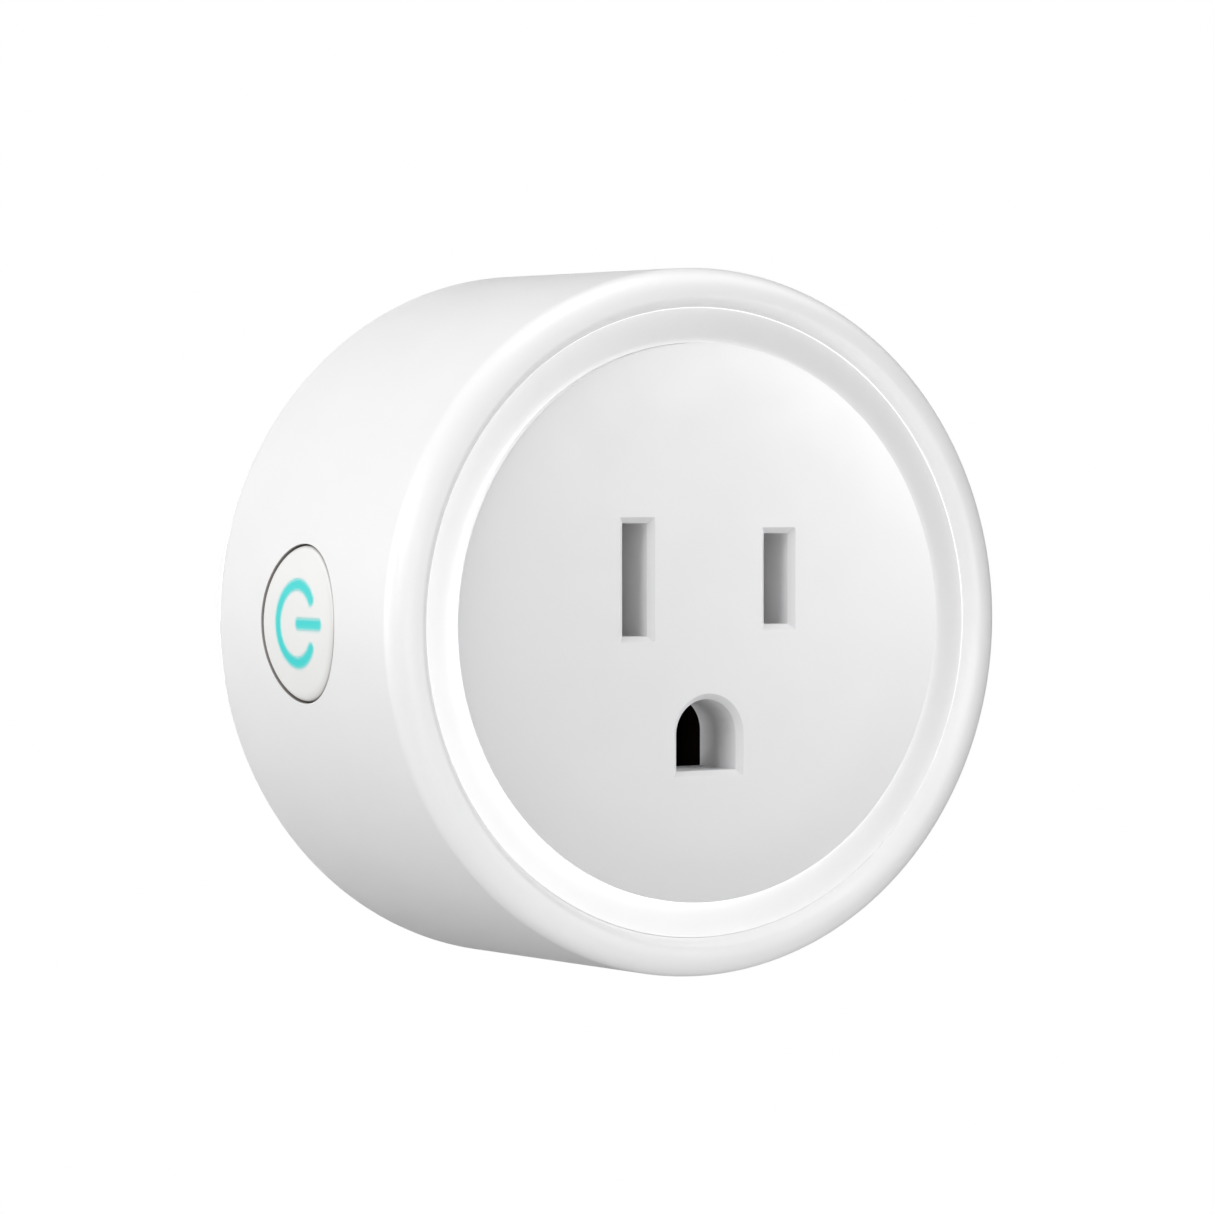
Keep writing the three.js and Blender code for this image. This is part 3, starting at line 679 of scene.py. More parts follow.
# Clear diffusing polycarbonate lit from behind: even cyan that fades at its rim.
LIGHT_GUIDE = LitPlastic(
    "lit_diffusing_polycarbonate", "#dff4f3", "#d6efee", 0.32, 0.03, ior=1.58, grain_mm=0.3,
    grain_strength=0.1,
)
# Nickel-plated stamped brass: bright, with fine rolling lines along the strip.
NICKEL_PLATE = Finish(
    "nickel_plated_brass", "#d3d0c9", "#c4c0b8", 0.24, 0.07, 1.0, drift_mm=5, grain_mm=0.9,
    grain_depth_mm=0.003, grain_strength=0.25, stretch=(6.0, 0.35, 6.0),
)
# Drawn and turned brass: warm, with rings from the tool.
BRASS = Finish(
    "turned_brass", "#d9b56b", "#cda659", 0.26, 0.07, 1.0, drift_mm=4, grain_mm=0.8,
    grain_depth_mm=0.003, grain_strength=0.25, stretch=(0.4, 6.0, 0.4),
)
# Brass painted a dull brown-black as painted shade, so the ground contact deep in its hole reads
# dark.
SHADE_DARK_BRASS = Finish(
    "brass_painted_dark_as_shade", "#3b322a", "#2f2823", 0.5, 0.08, 1.0, drift_mm=3, grain_mm=0.5,
    grain_strength=0.25,
)
# Zinc-plated mild steel: bluish grey with a slightly mottled bright dip.
ZINC_STEEL = Finish(
    "zinc_plated_steel", "#b9bdc2", "#a4a7aa", 0.32, 0.08, 1.0, drift_mm=1.5, grain_mm=0.4,
    grain_strength=0.25,
)
# Glass-filled black nylon: dull, with a slightly fibrous skin.
BLACK_NYLON = Finish(
    "moulded_black_nylon", "#1d1d1f", "#232427", 0.6, 0.06, drift_mm=4, grain_mm=0.35,
    grain_depth_mm=0.01, grain_strength=0.35, stretch=(1.0, 0.5, 1.0),
)
RELAY_CASE = Finish(
    "moulded_blue_polyester", "#24497f", "#203f70", 0.4, 0.05, drift_mm=5, grain_mm=0.3,
    grain_strength=0.2,
)
DIPPED_EPOXY = Finish(
    "dipped_blue_epoxy", "#2b5da6", "#234f92", 0.28, 0.05, drift_mm=3, grain_mm=1.1,
    grain_depth_mm=0.03, grain_strength=0.4,
)
SLEEVED_CAN = Finish(
    "shrunk_dark_sleeve", "#27282c", "#2f3136", 0.35, 0.05, drift_mm=3, grain_mm=0.8,
    grain_strength=0.25,
)
FERRITE = Finish(
    "sintered_ferrite", "#38383b", "#434346", 0.7, 0.08, drift_mm=1.2, grain_mm=0.2,
    grain_depth_mm=0.012, grain_strength=0.6,
)
GREEN_BOARD = BoardLaminate(
    "solder_masked_laminate", "#1a5434", "#1f5e3b", 0.38, 0.06, drift_mm=6, grain_mm=0.5,
    grain_strength=0.2,
)
LED_EPOXY = Finish("clear_epoxy_lens", "#ebe7c9", "#e2dcb6", 0.22, 0.04, drift_mm=1, grain_mm=0.3)


# Uncoated studio paper: even and quite matt.
PAPER = Finish(
    "matt_paper", "#f6f6f6", "#f2f2f2", 0.9, 0.02, drift_mm=120, grain_mm=3, grain_strength=0.1
)


# ---------------------------------------------------------------- casing


@dataclass(frozen=True)
class SideWall:
    """The casing's outer wall, which narrows in a straight line from the rear to the rim."""

    rear_radius: float = 28.25
    front_radius: float = 27.25
    front_y: float = -27.55

    def radius(self, y: np.ndarray | float) -> np.ndarray | float:
        """Outer radius at y: a straight line between the two ends."""
        return self.rear_radius + (self.front_radius - self.rear_radius) * y / self.front_y

    def lift(self, y: np.ndarray, z: np.ndarray, sunk: np.ndarray | float = 0.0) -> np.ndarray:
        """Points of the wall's -X side over (y, z), where x is -sqrt((radius - sunk)^2 - z^2).

        Args:
            y: Depths.
            z: Heights.
            sunk: Distance under the outer surface.

        Returns:
            The points, (x, y, z) to a row.
        """
        return np.stack([-np.sqrt((self.radius(y) - sunk) ** 2 - z**2), y, z], axis=-1)


WALL = SideWall()
BUTTON_CENTRE = (-13.9, 0.0)  # in (y, z)


@dataclass
class Casing:
    """The round side shell with its rounded rim and the button's opening."""

    wall: float = 1.85
    rear_edge: float = 0.5
    rim_fillet: float = 2.15
    lip_radius: float = 24.2
    lip_front: float = -28.4
    lip_rear: float = -26.6
    lip_stop: float = 20.0
    hole_radius: float = 6.1
    hole_edge: float = 0.06
    support: float = 0.05
    columns: int = 360
    window_columns: int = 17
    window_half: float = 8.2

    def build(self) -> None:
        """Makes and dresses the shell."""
        skin = Skin()
        rim_centre = WALL.front_radius - self.rim_fillet
        crest = WALL.front_y - self.rim_fillet
        rim = np.concatenate([
            ellipse_arc((rim_centre, WALL.front_y), (self.rim_fillet, self.rim_fillet), 0, -90, 28),
            self._lip(rim_centre, crest),
            [[self.lip_radius, self.lip_front + 0.06], [self.lip_radius, self.lip_rear]],
            [[WALL.radius(self.lip_rear) - self.wall, self.lip_rear]],
        ])
        rear_outer = WALL.radius(-self.rear_edge)
        edge = self.rear_edge
        rear = np.concatenate([
            [[WALL.rear_radius - self.wall, 0.0], [rear_outer - edge - 0.1, 0.0]],
            ellipse_arc((rear_outer - edge, -edge), (edge, edge), 90, 0, 8),
        ])
        skin.grid(turned(rim, self.columns))
        skin.grid(turned(rear, self.columns))
        margin = self.hole_edge + self.support
        angles = self._pierced_wall(skin, -edge, WALL.front_y, 0.0, margin, None)
        self._pierced_wall(skin, 0.0, self.lip_rear, self.wall, 0.0, angles)
        self._hole_wall(skin, angles)
        shell = skin.build("Side_shell")
        # Painted shade: the button hole's bore and rounded edge are coloured dark as the shade in
        # the gap.
        place = vertices_mm(shell)
        radius = np.linalg.norm(place[:, 1:] - BUTTON_CENTRE, axis=1)
        hole_shade = 1 - (radius - self.hole_radius) / self.hole_edge
        write_level(shell, "painted_gap_shade", (place[:, 0] < 0) * hole_shade)
        fit_piece(shell, SHELL_PLASTIC.material(), Slot.SHELL, Body.PLUG, "side_shell")

    def _lip(self, crest_radius: float, crest: float) -> np.ndarray:
        """The rim's inner slope: part of an ellipse, level at the crest and steep by the ring.

        Its ends fix the radii: cos(stop) and sin(stop) scale the drop in radius and in y.

        Args:
            crest_radius: Radius of the crest.
            crest: Its y.

        Returns:
            (radius, y) points after the crest.
        """
        stop = math.radians(self.lip_stop)
        across = (crest_radius - self.lip_radius) / math.cos(stop)
        along = (self.lip_front - crest) / (1 - math.sin(stop))
        centre = (crest_radius, crest + along)
        return ellipse_arc(centre, (across, along), -90, self.lip_stop - 180, 16)[1:]

    def _pierced_wall(
        self,
        skin: Skin,
        rear_y: float,
        front_y: float,
        sunk: float,
        margin: float,
        angles: np.ndarray | None,
    ) -> np.ndarray:
        """Adds the wall with a window round the button's hole.

        Outside the window it is a turned grid. Inside, rings run in straight lines in (y, z)
        from the window's square border to a circle, and are lifted on to the wall.

        Args:
            skin: Where the faces go.
            rear_y: Rear end of the wall.
            front_y: Front end of the wall.
            sunk: Distance of this wall under the outer one.
            margin: The circle's radius beyond the hole's.
            angles: Angles of the circle's points, or None to aim each at its border point.

        Returns:
            The angles used.
        """
        near, far = BUTTON_CENTRE[0] + self.window_half, BUTTON_CENTRE[0] - self.window_half
        window = np.linspace(near, far, 35)
        y = np.concatenate(
            [np.linspace(rear_y, near, 11)[:-1], window, np.linspace(far, front_y, 11)[1:]]
        )
        grid = turned(np.stack([WALL.radius(y) - sunk, y], axis=-1), self.columns)
        first, last, reach = 10, 44, self.window_columns
        around = np.arange(-reach, reach + 1)
        skin.grid(grid[:, reach : self.columns - reach + 1], wrap=False)
        skin.grid(grid[: first + 1, around], wrap=False)
        skin.grid(grid[last:, around], wrap=False)
        rows = np.arange(first, last + 1)
        border = np.concatenate([
            grid[first, around[:-1]], grid[rows[:-1], reach],
            grid[last, around[:0:-1]], grid[rows[:0:-1], -reach],
        ])[:, 1:]
        if angles is None:
            angles = np.arctan2(border[:, 1] - BUTTON_CENTRE[1], border[:, 0] - BUTTON_CENTRE[0])
        ring = self._ring(angles, self.hole_radius + margin)
        share = np.linspace(0, 1, 10)[:, None, None]
        flat = border * (1 - share) + ring * share
        skin.grid(WALL.lift(flat[..., 0], flat[..., 1], sunk))
        return angles

    def _ring(self, angles: np.ndarray, radius: np.ndarray | float) -> np.ndarray:
        """Points of a circle round the button's centre, in (y, z)."""
        spokes = np.stack([np.cos(angles), np.sin(angles)], axis=-1)
        return np.array(BUTTON_CENTRE) + np.asarray(radius)[..., None, None] * spokes

    def _hole_wall(self, skin: Skin, angles: np.ndarray) -> None:
        """Adds the hole's rounded edge, a quarter circle in section, and its straight bore.

        Args:
            skin: Where the faces go.
            angles: Angles of the columns round the hole.
        """
        turn = np.radians(np.linspace(0, 90, 7))
        radius = self.hole_radius + self.hole_edge * (1 - np.sin(turn))
        depth = self.hole_edge * (1 - np.cos(turn))
        radius = np.concatenate([[radius[0] + self.support], radius, [self.hole_radius] * 2])
        depth = np.concatenate([[0.0], depth, [self.hole_edge + self.support, 0.0]])
        flat = self._ring(angles, radius)
        points = WALL.lift(flat[..., 0], flat[..., 1])
        points[..., 0] += depth[:, None]
        points[-1] = WALL.lift(flat[-1, :, 0], flat[-1, :, 1], self.wall)
        skin.grid(points)


@dataclass
class FrontRing:
    """The sloping ring between the rim and the socket plate, with the flange that holds it."""

    columns: int = 360

    def build(self) -> None:
        """Makes and dresses the ring: a closed outline turned about Y."""
        outline = soften([
            (24.19, -28.4, 0.02), (21.51, -27.95, 0.02), (21.51, -27.0, 0), (22.9, -27.0, 0),
            (22.9, -25.6, 0), (25.05, -25.6, 0), (25.05, -26.3, 0), (24.19, -26.3, 0),
        ], steps=4)
        skin = Skin()
        skin.grid(turned(np.vstack([outline, outline[:1]]), self.columns))
        ring = skin.build("Front_ring")
        fit_piece(ring, SHELL_PLASTIC.material(), Slot.SHELL, Body.PLUG, "front_ring")


# ---------------------------------------------------------------- socket face


@dataclass
class SocketFace:
    """The crowned disc with two blade slots and an arched ground hole, each with a sleeve."""

    radius: float = 21.5
    flat_radius: float = 16.0
    front: float = -28.9
    edge_y: float = -28.55
    edge: float = 0.07
    flange: float = 22.6
    flange_front: float = -26.6
    back_radius: float = 20.0
    rear: float = -25.9
    sleeve_rear: float = -23.2
    sleeve_wall: float = 1.2
    chamfer: float = 0.45
    blade_z: float = 3.36
    ground_z: float = -8.54
    pitch: float = 12.7
    slot_half_width: float = 1.1
    neutral_half: float = 4.3
    line_half: float = 3.525
    arch_radius: float = 2.68
    arch_foot: float = 2.8
    boss: float = 2.6
    boss_hole: float = 1.3
    boss_floor: float = -24.9
    boss_heights: tuple[float, float] = (6.0, -1.6)
    columns: int = 288

    def opening(self, number: int, grow: float) -> np.ndarray:
        """Outline in (x, z) of an opening.

        Args:
            number: 0 for the neutral slot, 1 for the line slot, 2 for the ground arch.
            grow: Distance by which it is grown all round.

        Returns:
            Its points.
        """
        if number < 2:
            centre = ((-1, 1)[number] * self.pitch / 2, self.blade_z)
            half = (self.neutral_half, self.line_half)[number]
            return rectangle(centre, self.slot_half_width + grow, half + grow, 0.08)
        radius, corner = self.arch_radius + grow, 0.08
        foot = self.ground_z - self.arch_foot - grow
        top = ellipse_arc((0, self.ground_z), (radius, radius), 0, 180, 36)
        left = ellipse_arc((corner - radius, foot + corner), (corner, corner), 180, 270, 4)
        right = ellipse_arc((radius - corner, foot + corner), (corner, corner), 270, 360, 4)
        share = np.linspace(0, 1, 10)[1:-1, None]
        return np.concatenate([top, left, left[-1] * (1 - share) + right[0] * share, right])

    def build(self) -> None:
        """Makes and dresses the disc."""
        skin = Skin()
        fall = np.linspace(0, 1, 25)
        dome_edge = self.radius - 0.15
        dome = np.stack([
            self.flat_radius + (dome_edge - self.flat_radius) * fall,
            self.front + (self.edge_y - self.front) * fall**2,
        ], axis=-1)
        corner = soften([
            (dome[-2, 0], dome[-2, 1], 0), (self.radius, self.edge_y + 0.04, self.edge),
            (self.radius, self.flange_front, 0),
        ], steps=6, closed=False)[1:]
        back = [
            [self.flange, self.flange_front], [self.flange, self.rear],
            [self.back_radius, self.rear],
        ]
        skin.grid(turned(np.concatenate([dome[:-1], corner, back]), self.columns))
        section = soften([
            (self.chamfer + 0.3, self.front, 0), (self.chamfer, self.front, 0.05),
            (0, self.front + self.chamfer, 0.05), (0, self.sleeve_rear, 0),
            (self.sleeve_wall, self.sleeve_rear, 0), (self.sleeve_wall, self.rear, 0),
        ], steps=3, closed=False, support=0.03)
        front_holes, rear_holes = [], []
        for number in range(3):
            rings = np.stack([face_points(self.opening(number, grow), y) for grow, y in section])
            skin.grid(rings)
            front_holes.append(rings[0][:, [0, 2]])
            rear_holes.append(rings[-1][:, [0, 2]])
        boss = np.array([
            [self.boss, self.rear], [self.boss, self.sleeve_rear],
            [self.boss_hole, self.sleeve_rear], [self.boss_hole, self.boss_floor],
            [0, self.boss_floor],
        ])
        for z in self.boss_heights:
            rings = turned(boss, 32, (0.0, z))
            skin.grid(rings)
            rear_holes.append(rings[0][:, [0, 2]])
        front_edge = turned(np.array([[self.flat_radius, self.front]]), self.columns)[0][:, [0, 2]]
        rear_edge = turned(np.array([[self.back_radius, self.rear]]), self.columns)[0][:, [0, 2]]
        for outer, holes, y in (
            (front_edge, front_holes, self.front), (rear_edge, rear_holes, self.rear),
        ):
            points, triangles = fill(outer, holes)
            skin.triangles(face_points(points, y), triangles)
        plate = skin.build("Socket_plate")
        fit_piece(plate, FACE_PLASTIC.material(), Slot.FACE, Body.PLUG, "socket_plate")


@dataclass
class RearCover:
    """The flat cover behind the casing, with its prong openings, locating lip and screw posts."""

    radius: float = 26.1
    thickness: float = 2.0
    edge: float = 0.25
    lip_inner: float = 24.4
    lip_outer: float = 25.6
    lip_front: float = -4.5
    post: float = 2.3
    post_hole: float = 1.3
    post_front: float = -5.4
    post_floor: float = -1.9
    posts: tuple[tuple[float, float], ...] = ((15.4, 13.4), (-15.4, 13.4), (0.0, -20.6))
    columns: int = 288

    def openings(self, grow: float) -> list[np.ndarray]:
        """Outlines in (x, z) of the three prong openings.

        Args:
            grow: Distance by which they are grown all round.

        Returns:
            Two rectangles and a circle.
        """
        face = SocketFace()
        halves = ((-1, 3.96), (1, 3.175))
        slots = [
            rectangle(
                (side * face.pitch / 2, face.blade_z), 0.85 + grow, half + 0.1 + grow, 0.15 + grow
            )
            for side, half in halves
        ]
        return [*slots, circle(2.5 + grow, 48, (0.0, face.ground_z))]

    def build(self) -> None:
        """Makes and dresses the cover."""
        skin = Skin()
        face_edge, floor_edge = self.radius - self.edge - 0.5, self.lip_inner - 0.4
        rim = soften([
            (face_edge, 0, 0), (self.radius, 0, self.edge), (self.radius, -self.thickness, 0),
            (self.lip_outer, -self.thickness, 0), (self.lip_outer, self.lip_front, 0.15),
            (self.lip_inner, self.lip_front, 0.15), (self.lip_inner, -self.thickness, 0),
            (floor_edge, -self.thickness, 0),
        ], closed=False)
        skin.grid(turned(rim, self.columns))
        section = soften([
            (0.5, 0, 0), (0, 0, 0.15), (0, -self.thickness, 0),
        ], steps=4, closed=False)
        rings = [
            np.stack([face_points(outline, y) for (grow, y), outline in zip(section, outlines)])
            for outlines in zip(*[self.openings(grow) for grow, _ in section])
        ]
        for ring in rings:
            skin.grid(ring)
        post = np.array([
            [self.post, -self.thickness], [self.post, self.post_front],
            [self.post_hole, self.post_front], [self.post_hole, self.post_floor],
            [0, self.post_floor],
        ])
        posts = [turned(post, 32, place) for place in self.posts]
        for grid in posts:
            skin.grid(grid)
        floor_holes = [ring[-1] for ring in rings] + [grid[0] for grid in posts]
        for radius, holes, y in (
            (face_edge, [ring[0] for ring in rings], 0.0),
            (floor_edge, floor_holes, -self.thickness),
        ):
            outer = turned(np.array([[radius, y]]), self.columns)[0]
            points, triangles = fill(outer[:, [0, 2]], [hole[:, [0, 2]] for hole in holes])
            skin.triangles(face_points(points, y), triangles)
        cover = skin.build("Rear_cover")
        fit_piece(cover, REAR_PLASTIC.material(), Slot.FACE, Body.PLUG, "rear_cover")


# ---------------------------------------------------------------- prongs


@dataclass
class Prongs:
    """Two flat blades and the round ground pin."""

    half_thickness: float = 0.75
    length: float = 17.0
    edge: float = 0.16
    hole_radius: float = 1.6
    hole_from_tip: float = 4.2
    pin_radius: float = 2.4
    pin_length: float = 20.3

    def blade(self, name: str, node: str, x: float, half: float, middle: float) -> None:
        """Makes one blade: its outline in (y, z) with both long faces filled and a rounded edge.

        Args:
            name: Name of the piece.
            node: The CAD node that it stands for.
            x: Its place across the face.
            half: Half its width.
            middle: Height of its centre line.
        """
        tip, drop = 1.6, 1.1
        corners = [
            (-7.4, -5, 0.3), (-5.2, -5, 0), (-5.2, -5.2, 0), (-2.3, -5.2, 0.3), (-2.3, -half, 0.1),
            (self.length - tip, -half, 0.8), (self.length, -half + drop, 0.4),
            (self.length, half - drop, 0.4),
            (self.length - tip, half, 0.8), (-2.3, half, 0.1), (-2.3, 3.9, 0), (-5.2, 3.9, 0.3),
            (-5.2, -2.2, 0.1), (-7.4, -2.2, 0.3),
        ]
        outline = soften([(y, z + middle, r) for y, z, r in corners], steps=5)
        hole = circle(self.hole_radius, 48, (self.length - self.hole_from_tip, middle))
        turn = np.radians(np.linspace(0, 90, 5))
        inset = np.concatenate([[self.edge + 0.04], self.edge * (1 - np.sin(turn))])
        height = self.half_thickness - np.concatenate([[0.0], self.edge * (1 - np.cos(turn))])
        upper, lower = np.stack([inset, height], -1), np.stack([inset, -height], -1)
        section = np.concatenate([upper, lower[::-1]])
        skin = Skin()
        rims = [
            np.stack([side_points(offset(path, sign * grow), x + side) for grow, side in section])
            for path, sign in ((outline, -1), (hole, 1))
        ]
        for rim in rims:
            skin.grid(rim)
        for row in (0, -1):
            points, triangles = fill(rims[0][row][:, 1:], [rims[1][row][:, 1:]])
            skin.triangles(side_points(points, x + section[row, 1]), triangles)
        fit_piece(skin.build(name), NICKEL_PLATE.material(), Slot.NICKEL, Body.PLUG, node)

    def build(self) -> None:
        """Makes and dresses the three prongs."""
        face = SocketFace()
        self.blade("Neutral_blade", "neutral_blade", -face.pitch / 2, 3.96, face.blade_z)
        self.blade("Line_blade", "line_blade", face.pitch / 2, 3.175, face.blade_z)
        shank = soften([
            (0, -4.4, 0), (3.75, -4.4, 0.15), (3.75, -2.3, 0.15), (self.pin_radius, -2.3, 0),
            (self.pin_radius, self.pin_length - self.pin_radius, 0),
        ], closed=False)
        nose = ellipse_arc(
            (0, self.pin_length - self.pin_radius), (self.pin_radius, self.pin_radius), 0, 90, 16
        )[1:]
        skin = Skin()
        skin.grid(turned(np.concatenate([shank, nose]), 96, (0.0, face.ground_z)))
        fit_piece(skin.build("Ground_pin"), BRASS.material(), Slot.BRASS, Body.PLUG, "ground_pin")


# ---------------------------------------------------------------- button


@dataclass
class PushButton:
    """The round cap in the side wall and the power symbol of the light guide behind it."""

    cap_radius: float = 5.99
    sunk: float = 0.06
    edge: float = 0.3
    inner_x: float = -25.4
    bore: float = 4.95
    flange: float = 6.6
    flange_front: float = -24.6
    rear: float = -23.8
    ring_radius: float = 3.0
    stroke: float = 0.95
    gap_angle: float = 0.66
    bar_from: float = 0.1
    bar_to: float = -4.2
    symbol_shift: float = 0.3
    lattice: float = 0.2
    glow_outside: float = 0.14
    glow_inside: float = 0.24
    # Painted shade of the button's gap and of the cap's rounded edge where it turns from the light.
    gap_shade_edge: float = 0.07
    gap_shade_front: float = 0.25
    crescent_shade_width: float = 0.95
    crescent_shade_level: float = 0.5
    crescent_shade_towards: tuple[float, float] = (-0.8, -0.6)

    def symbol(self, grow: float = 0.0) -> list[np.ndarray]:
        """Outlines in (y, z) of the power symbol: an open ring with round ends, and a bar.

        Args:
            grow: Distance by which both are grown all round.

        Returns:
            The ring and the bar, counter-clockwise.
        """
        half = self.stroke / 2 + grow
        centre = np.array(BUTTON_CENTRE) + [self.symbol_shift, 0.0]
        end = math.pi - self.gap_angle
        sweep = np.linspace(-end, end, 97)[:, None]
        spokes = np.hstack([np.cos(sweep), np.sin(sweep)])
        turn = np.linspace(0, math.pi, 13)[1:-1, None]
        radial, sideways = spokes[-1], np.array([-math.sin(end), math.cos(end)])
        top = self.ring_radius * radial + half * (np.cos(turn) * radial + np.sin(turn) * sideways)
        outline = np.concatenate([
            spokes * (self.ring_radius + half), top, spokes[::-1] * (self.ring_radius - half),
            top[::-1] * [1, -1],
        ])
        middle = (self.bar_from + self.bar_to) / 2
        length = (self.bar_from - self.bar_to) / 2
        bar = rectangle((middle, 0.0), length + grow, half, 0.42 + grow, side_steps=14)
        return [outline + centre, bar + centre]

    def light(self, piece: Piece) -> None:
        """Writes the "lit" attribute, a smooth step across the symbol's edge.

        With s climbing from 0 to 1 between glow_outside beyond the edge and glow_inside within it,
        the level is 3 s^2 - 2 s^3.

        Args:
            piece: The cap or the guide.
        """
        flat = vertices_mm(piece)[:, 1:]
        outlines = self.symbol()
        depth = distance_to(flat, outlines)
        within = inside(flat, outlines[0]) | inside(flat, outlines[1])
        reach = self.glow_outside + self.glow_inside
        level = np.clip((np.where(within, depth, -depth) + self.glow_outside) / reach, 0, 1)
        write_level(piece, "lit", level**2 * (3 - 2 * level))

    def paint_cap_shade(self, piece: Piece) -> None:
        """Writes the "painted_gap_shade" attribute of painted shade: full on the cap's side, a
        faint crescent inside its edge.

        With r the distance from the centre and f the cosine of the angle from the front, the side's
        painted shade fades over the last gap_shade_edge + gap_shade_front f of r. With c the cosine
        of the angle from the crescent's middle, the crescent's painted shade is
        crescent_shade_level c s^2, where s climbs from 0 to 1 over the last crescent_shade_width of
        r.

        Args:
            piece: The cap.
        """
        flat = vertices_mm(piece)[:, 1:] - BUTTON_CENTRE
        radius = np.linalg.norm(flat, axis=1)
        inwards = self.cap_radius - radius
        facing = np.clip(flat @ np.array(self.crescent_shade_towards) / np.maximum(radius, 0.01), 0, 1)
        # Painted shade: a faint crescent inside the cap's edge, strongest towards
        # crescent_shade_towards.
        crescent = self.crescent_shade_level * facing * np.clip(1 - inwards / self.crescent_shade_width, 0, 1) ** 2
        front = np.clip(-flat[:, 0] / np.maximum(radius, 0.01), 0, 1)
        side = 1 - inwards / (self.gap_shade_edge + self.gap_shade_front * front)
        write_level(piece, "painted_gap_shade", np.maximum(side, crescent))

    def build(self) -> None:
        """Makes and dresses the cap and the light guide."""
        self._cap()
        self._guide()

    def _cap(self) -> None:
        """The cap: its face lifted on to the wall, pierced by the symbol, with a rounded edge."""
        skin = Skin()
        turn = np.radians(np.linspace(0, 90, 8))
        radius = self.cap_radius - self.edge * (1 - np.sin(turn))
        radius = np.concatenate([[radius[0] - 0.1], radius])
        depth = np.concatenate([[0.0], self.edge * (1 - np.cos(turn))])
        unit = circle(1.0, 144)
        flat = np.array(BUTTON_CENTRE) + radius[:, None, None] * unit
        edge = WALL.lift(flat[..., 0], flat[..., 1], self.sunk)
        edge[..., 0] += depth[:, None]
        below = [
            (self.cap_radius, self.flange_front), (self.flange, self.flange_front),
            (self.flange, self.rear), (self.bore, self.rear), (self.bore, self.inner_x),
        ]
        rings = np.stack([side_points(np.array(BUTTON_CENTRE) + r * unit, x) for r, x in below])
        skin.grid(np.concatenate([edge, rings]))
        slots = self.symbol(0.015)
        for outline in slots:
            top = WALL.lift(outline[:, 0], outline[:, 1], self.sunk)
            skin.grid(np.stack([top, side_points(outline, self.inner_x)]))
        points, triangles = fill(flat[0], slots, self.lattice)
        skin.triangles(WALL.lift(points[:, 0], points[:, 1], self.sunk), triangles)
        points, triangles = fill(rings[-1][:, 1:], slots)
        skin.triangles(side_points(points, self.inner_x), triangles)
        cap = skin.build("Button_cap")
        self.light(cap)
        self.paint_cap_shade(cap)
        fit_piece(cap, CAP_PLASTIC.material(), Slot.SHELL, Body.BUTTON, "button_cap")

    def _guide(self) -> None:
        """The light guide: the symbol's ridges on a disc with a short stem."""
        front, disc_rear, stem_rear = -25.1, -24.3, -23.4
        disc, stem = 4.6, 1.5
        skin = Skin()
        ridges = self.symbol()
        for outline in ridges:
            top = WALL.lift(outline[:, 0], outline[:, 1], self.sunk)
            skin.grid(np.stack([top, side_points(outline, front)]))
            points, triangles = fill(outline, [], self.lattice)
            skin.triangles(WALL.lift(points[:, 0], points[:, 1], self.sunk), triangles)
        unit = circle(1.0, 96)
        below = [
            (disc, front), (disc, disc_rear), (stem, disc_rear), (stem, stem_rear),
            (0.0, stem_rear),
        ]
        rings = np.stack([side_points(np.array(BUTTON_CENTRE) + r * unit, x) for r, x in below])
        skin.grid(rings)
        points, triangles = fill(rings[0][:, 1:], ridges)
        skin.triangles(side_points(points, front), triangles)
        guide = skin.build("Icon_light_guide")
        self.light(guide)
        fit_piece(guide, LIGHT_GUIDE.material(), Slot.LIGHT_GUIDE, Body.BUTTON, "icon_light_guide")


# ---------------------------------------------------------------- inner pieces


@dataclass
class InnerWorks:
    """The CAD pieces inside the casing, which keep their shapes and take their finishes; the ground
    contact's is painted shade.
    """

    finishes: tuple[tuple[Finish, str], ...] = (
        (BRASS, "ground_strap neutral_contact line_contact neutral_bus_bar line_bus_bar"),
        (SHADE_DARK_BRASS, "ground_contact"),
        (
            ZINC_STEEL,
            "carrier_screw_1 carrier_screw_2 board_screw_1 board_screw_2 board_screw_3 wifi_shield",
        ),
        (GREEN_BOARD, "main_board wifi_board button_board"),
        (
            BLACK_NYLON,
            "socket_carrier carrier_cover relay_base fuse bridge_rectifier power_ic switch_base "
            "switch_plunger",
        ),
        (RELAY_CASE, "relay_case"),
        (SLEEVED_CAN, "bulk_capacitor filter_capacitor"),
        (FERRITE, "power_inductor"),
        (DIPPED_EPOXY, "varistor"),
        (LED_EPOXY, "led_upper led_lower"),
    )

    def build(self) -> None:
        """Gives each node its material."""
        for finish, names in self.finishes:
            material = finish.material()
            for name in names.split():
                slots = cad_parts[name].data.materials
                slots.clear()
                slots.append(material)
                LOG.info("%s: %s", name, finish.name)


# ---------------------------------------------------------------- studio


REAR_PIECES = ("Rear_cover", "Neutral_blade", "Line_blade", "Ground_pin")


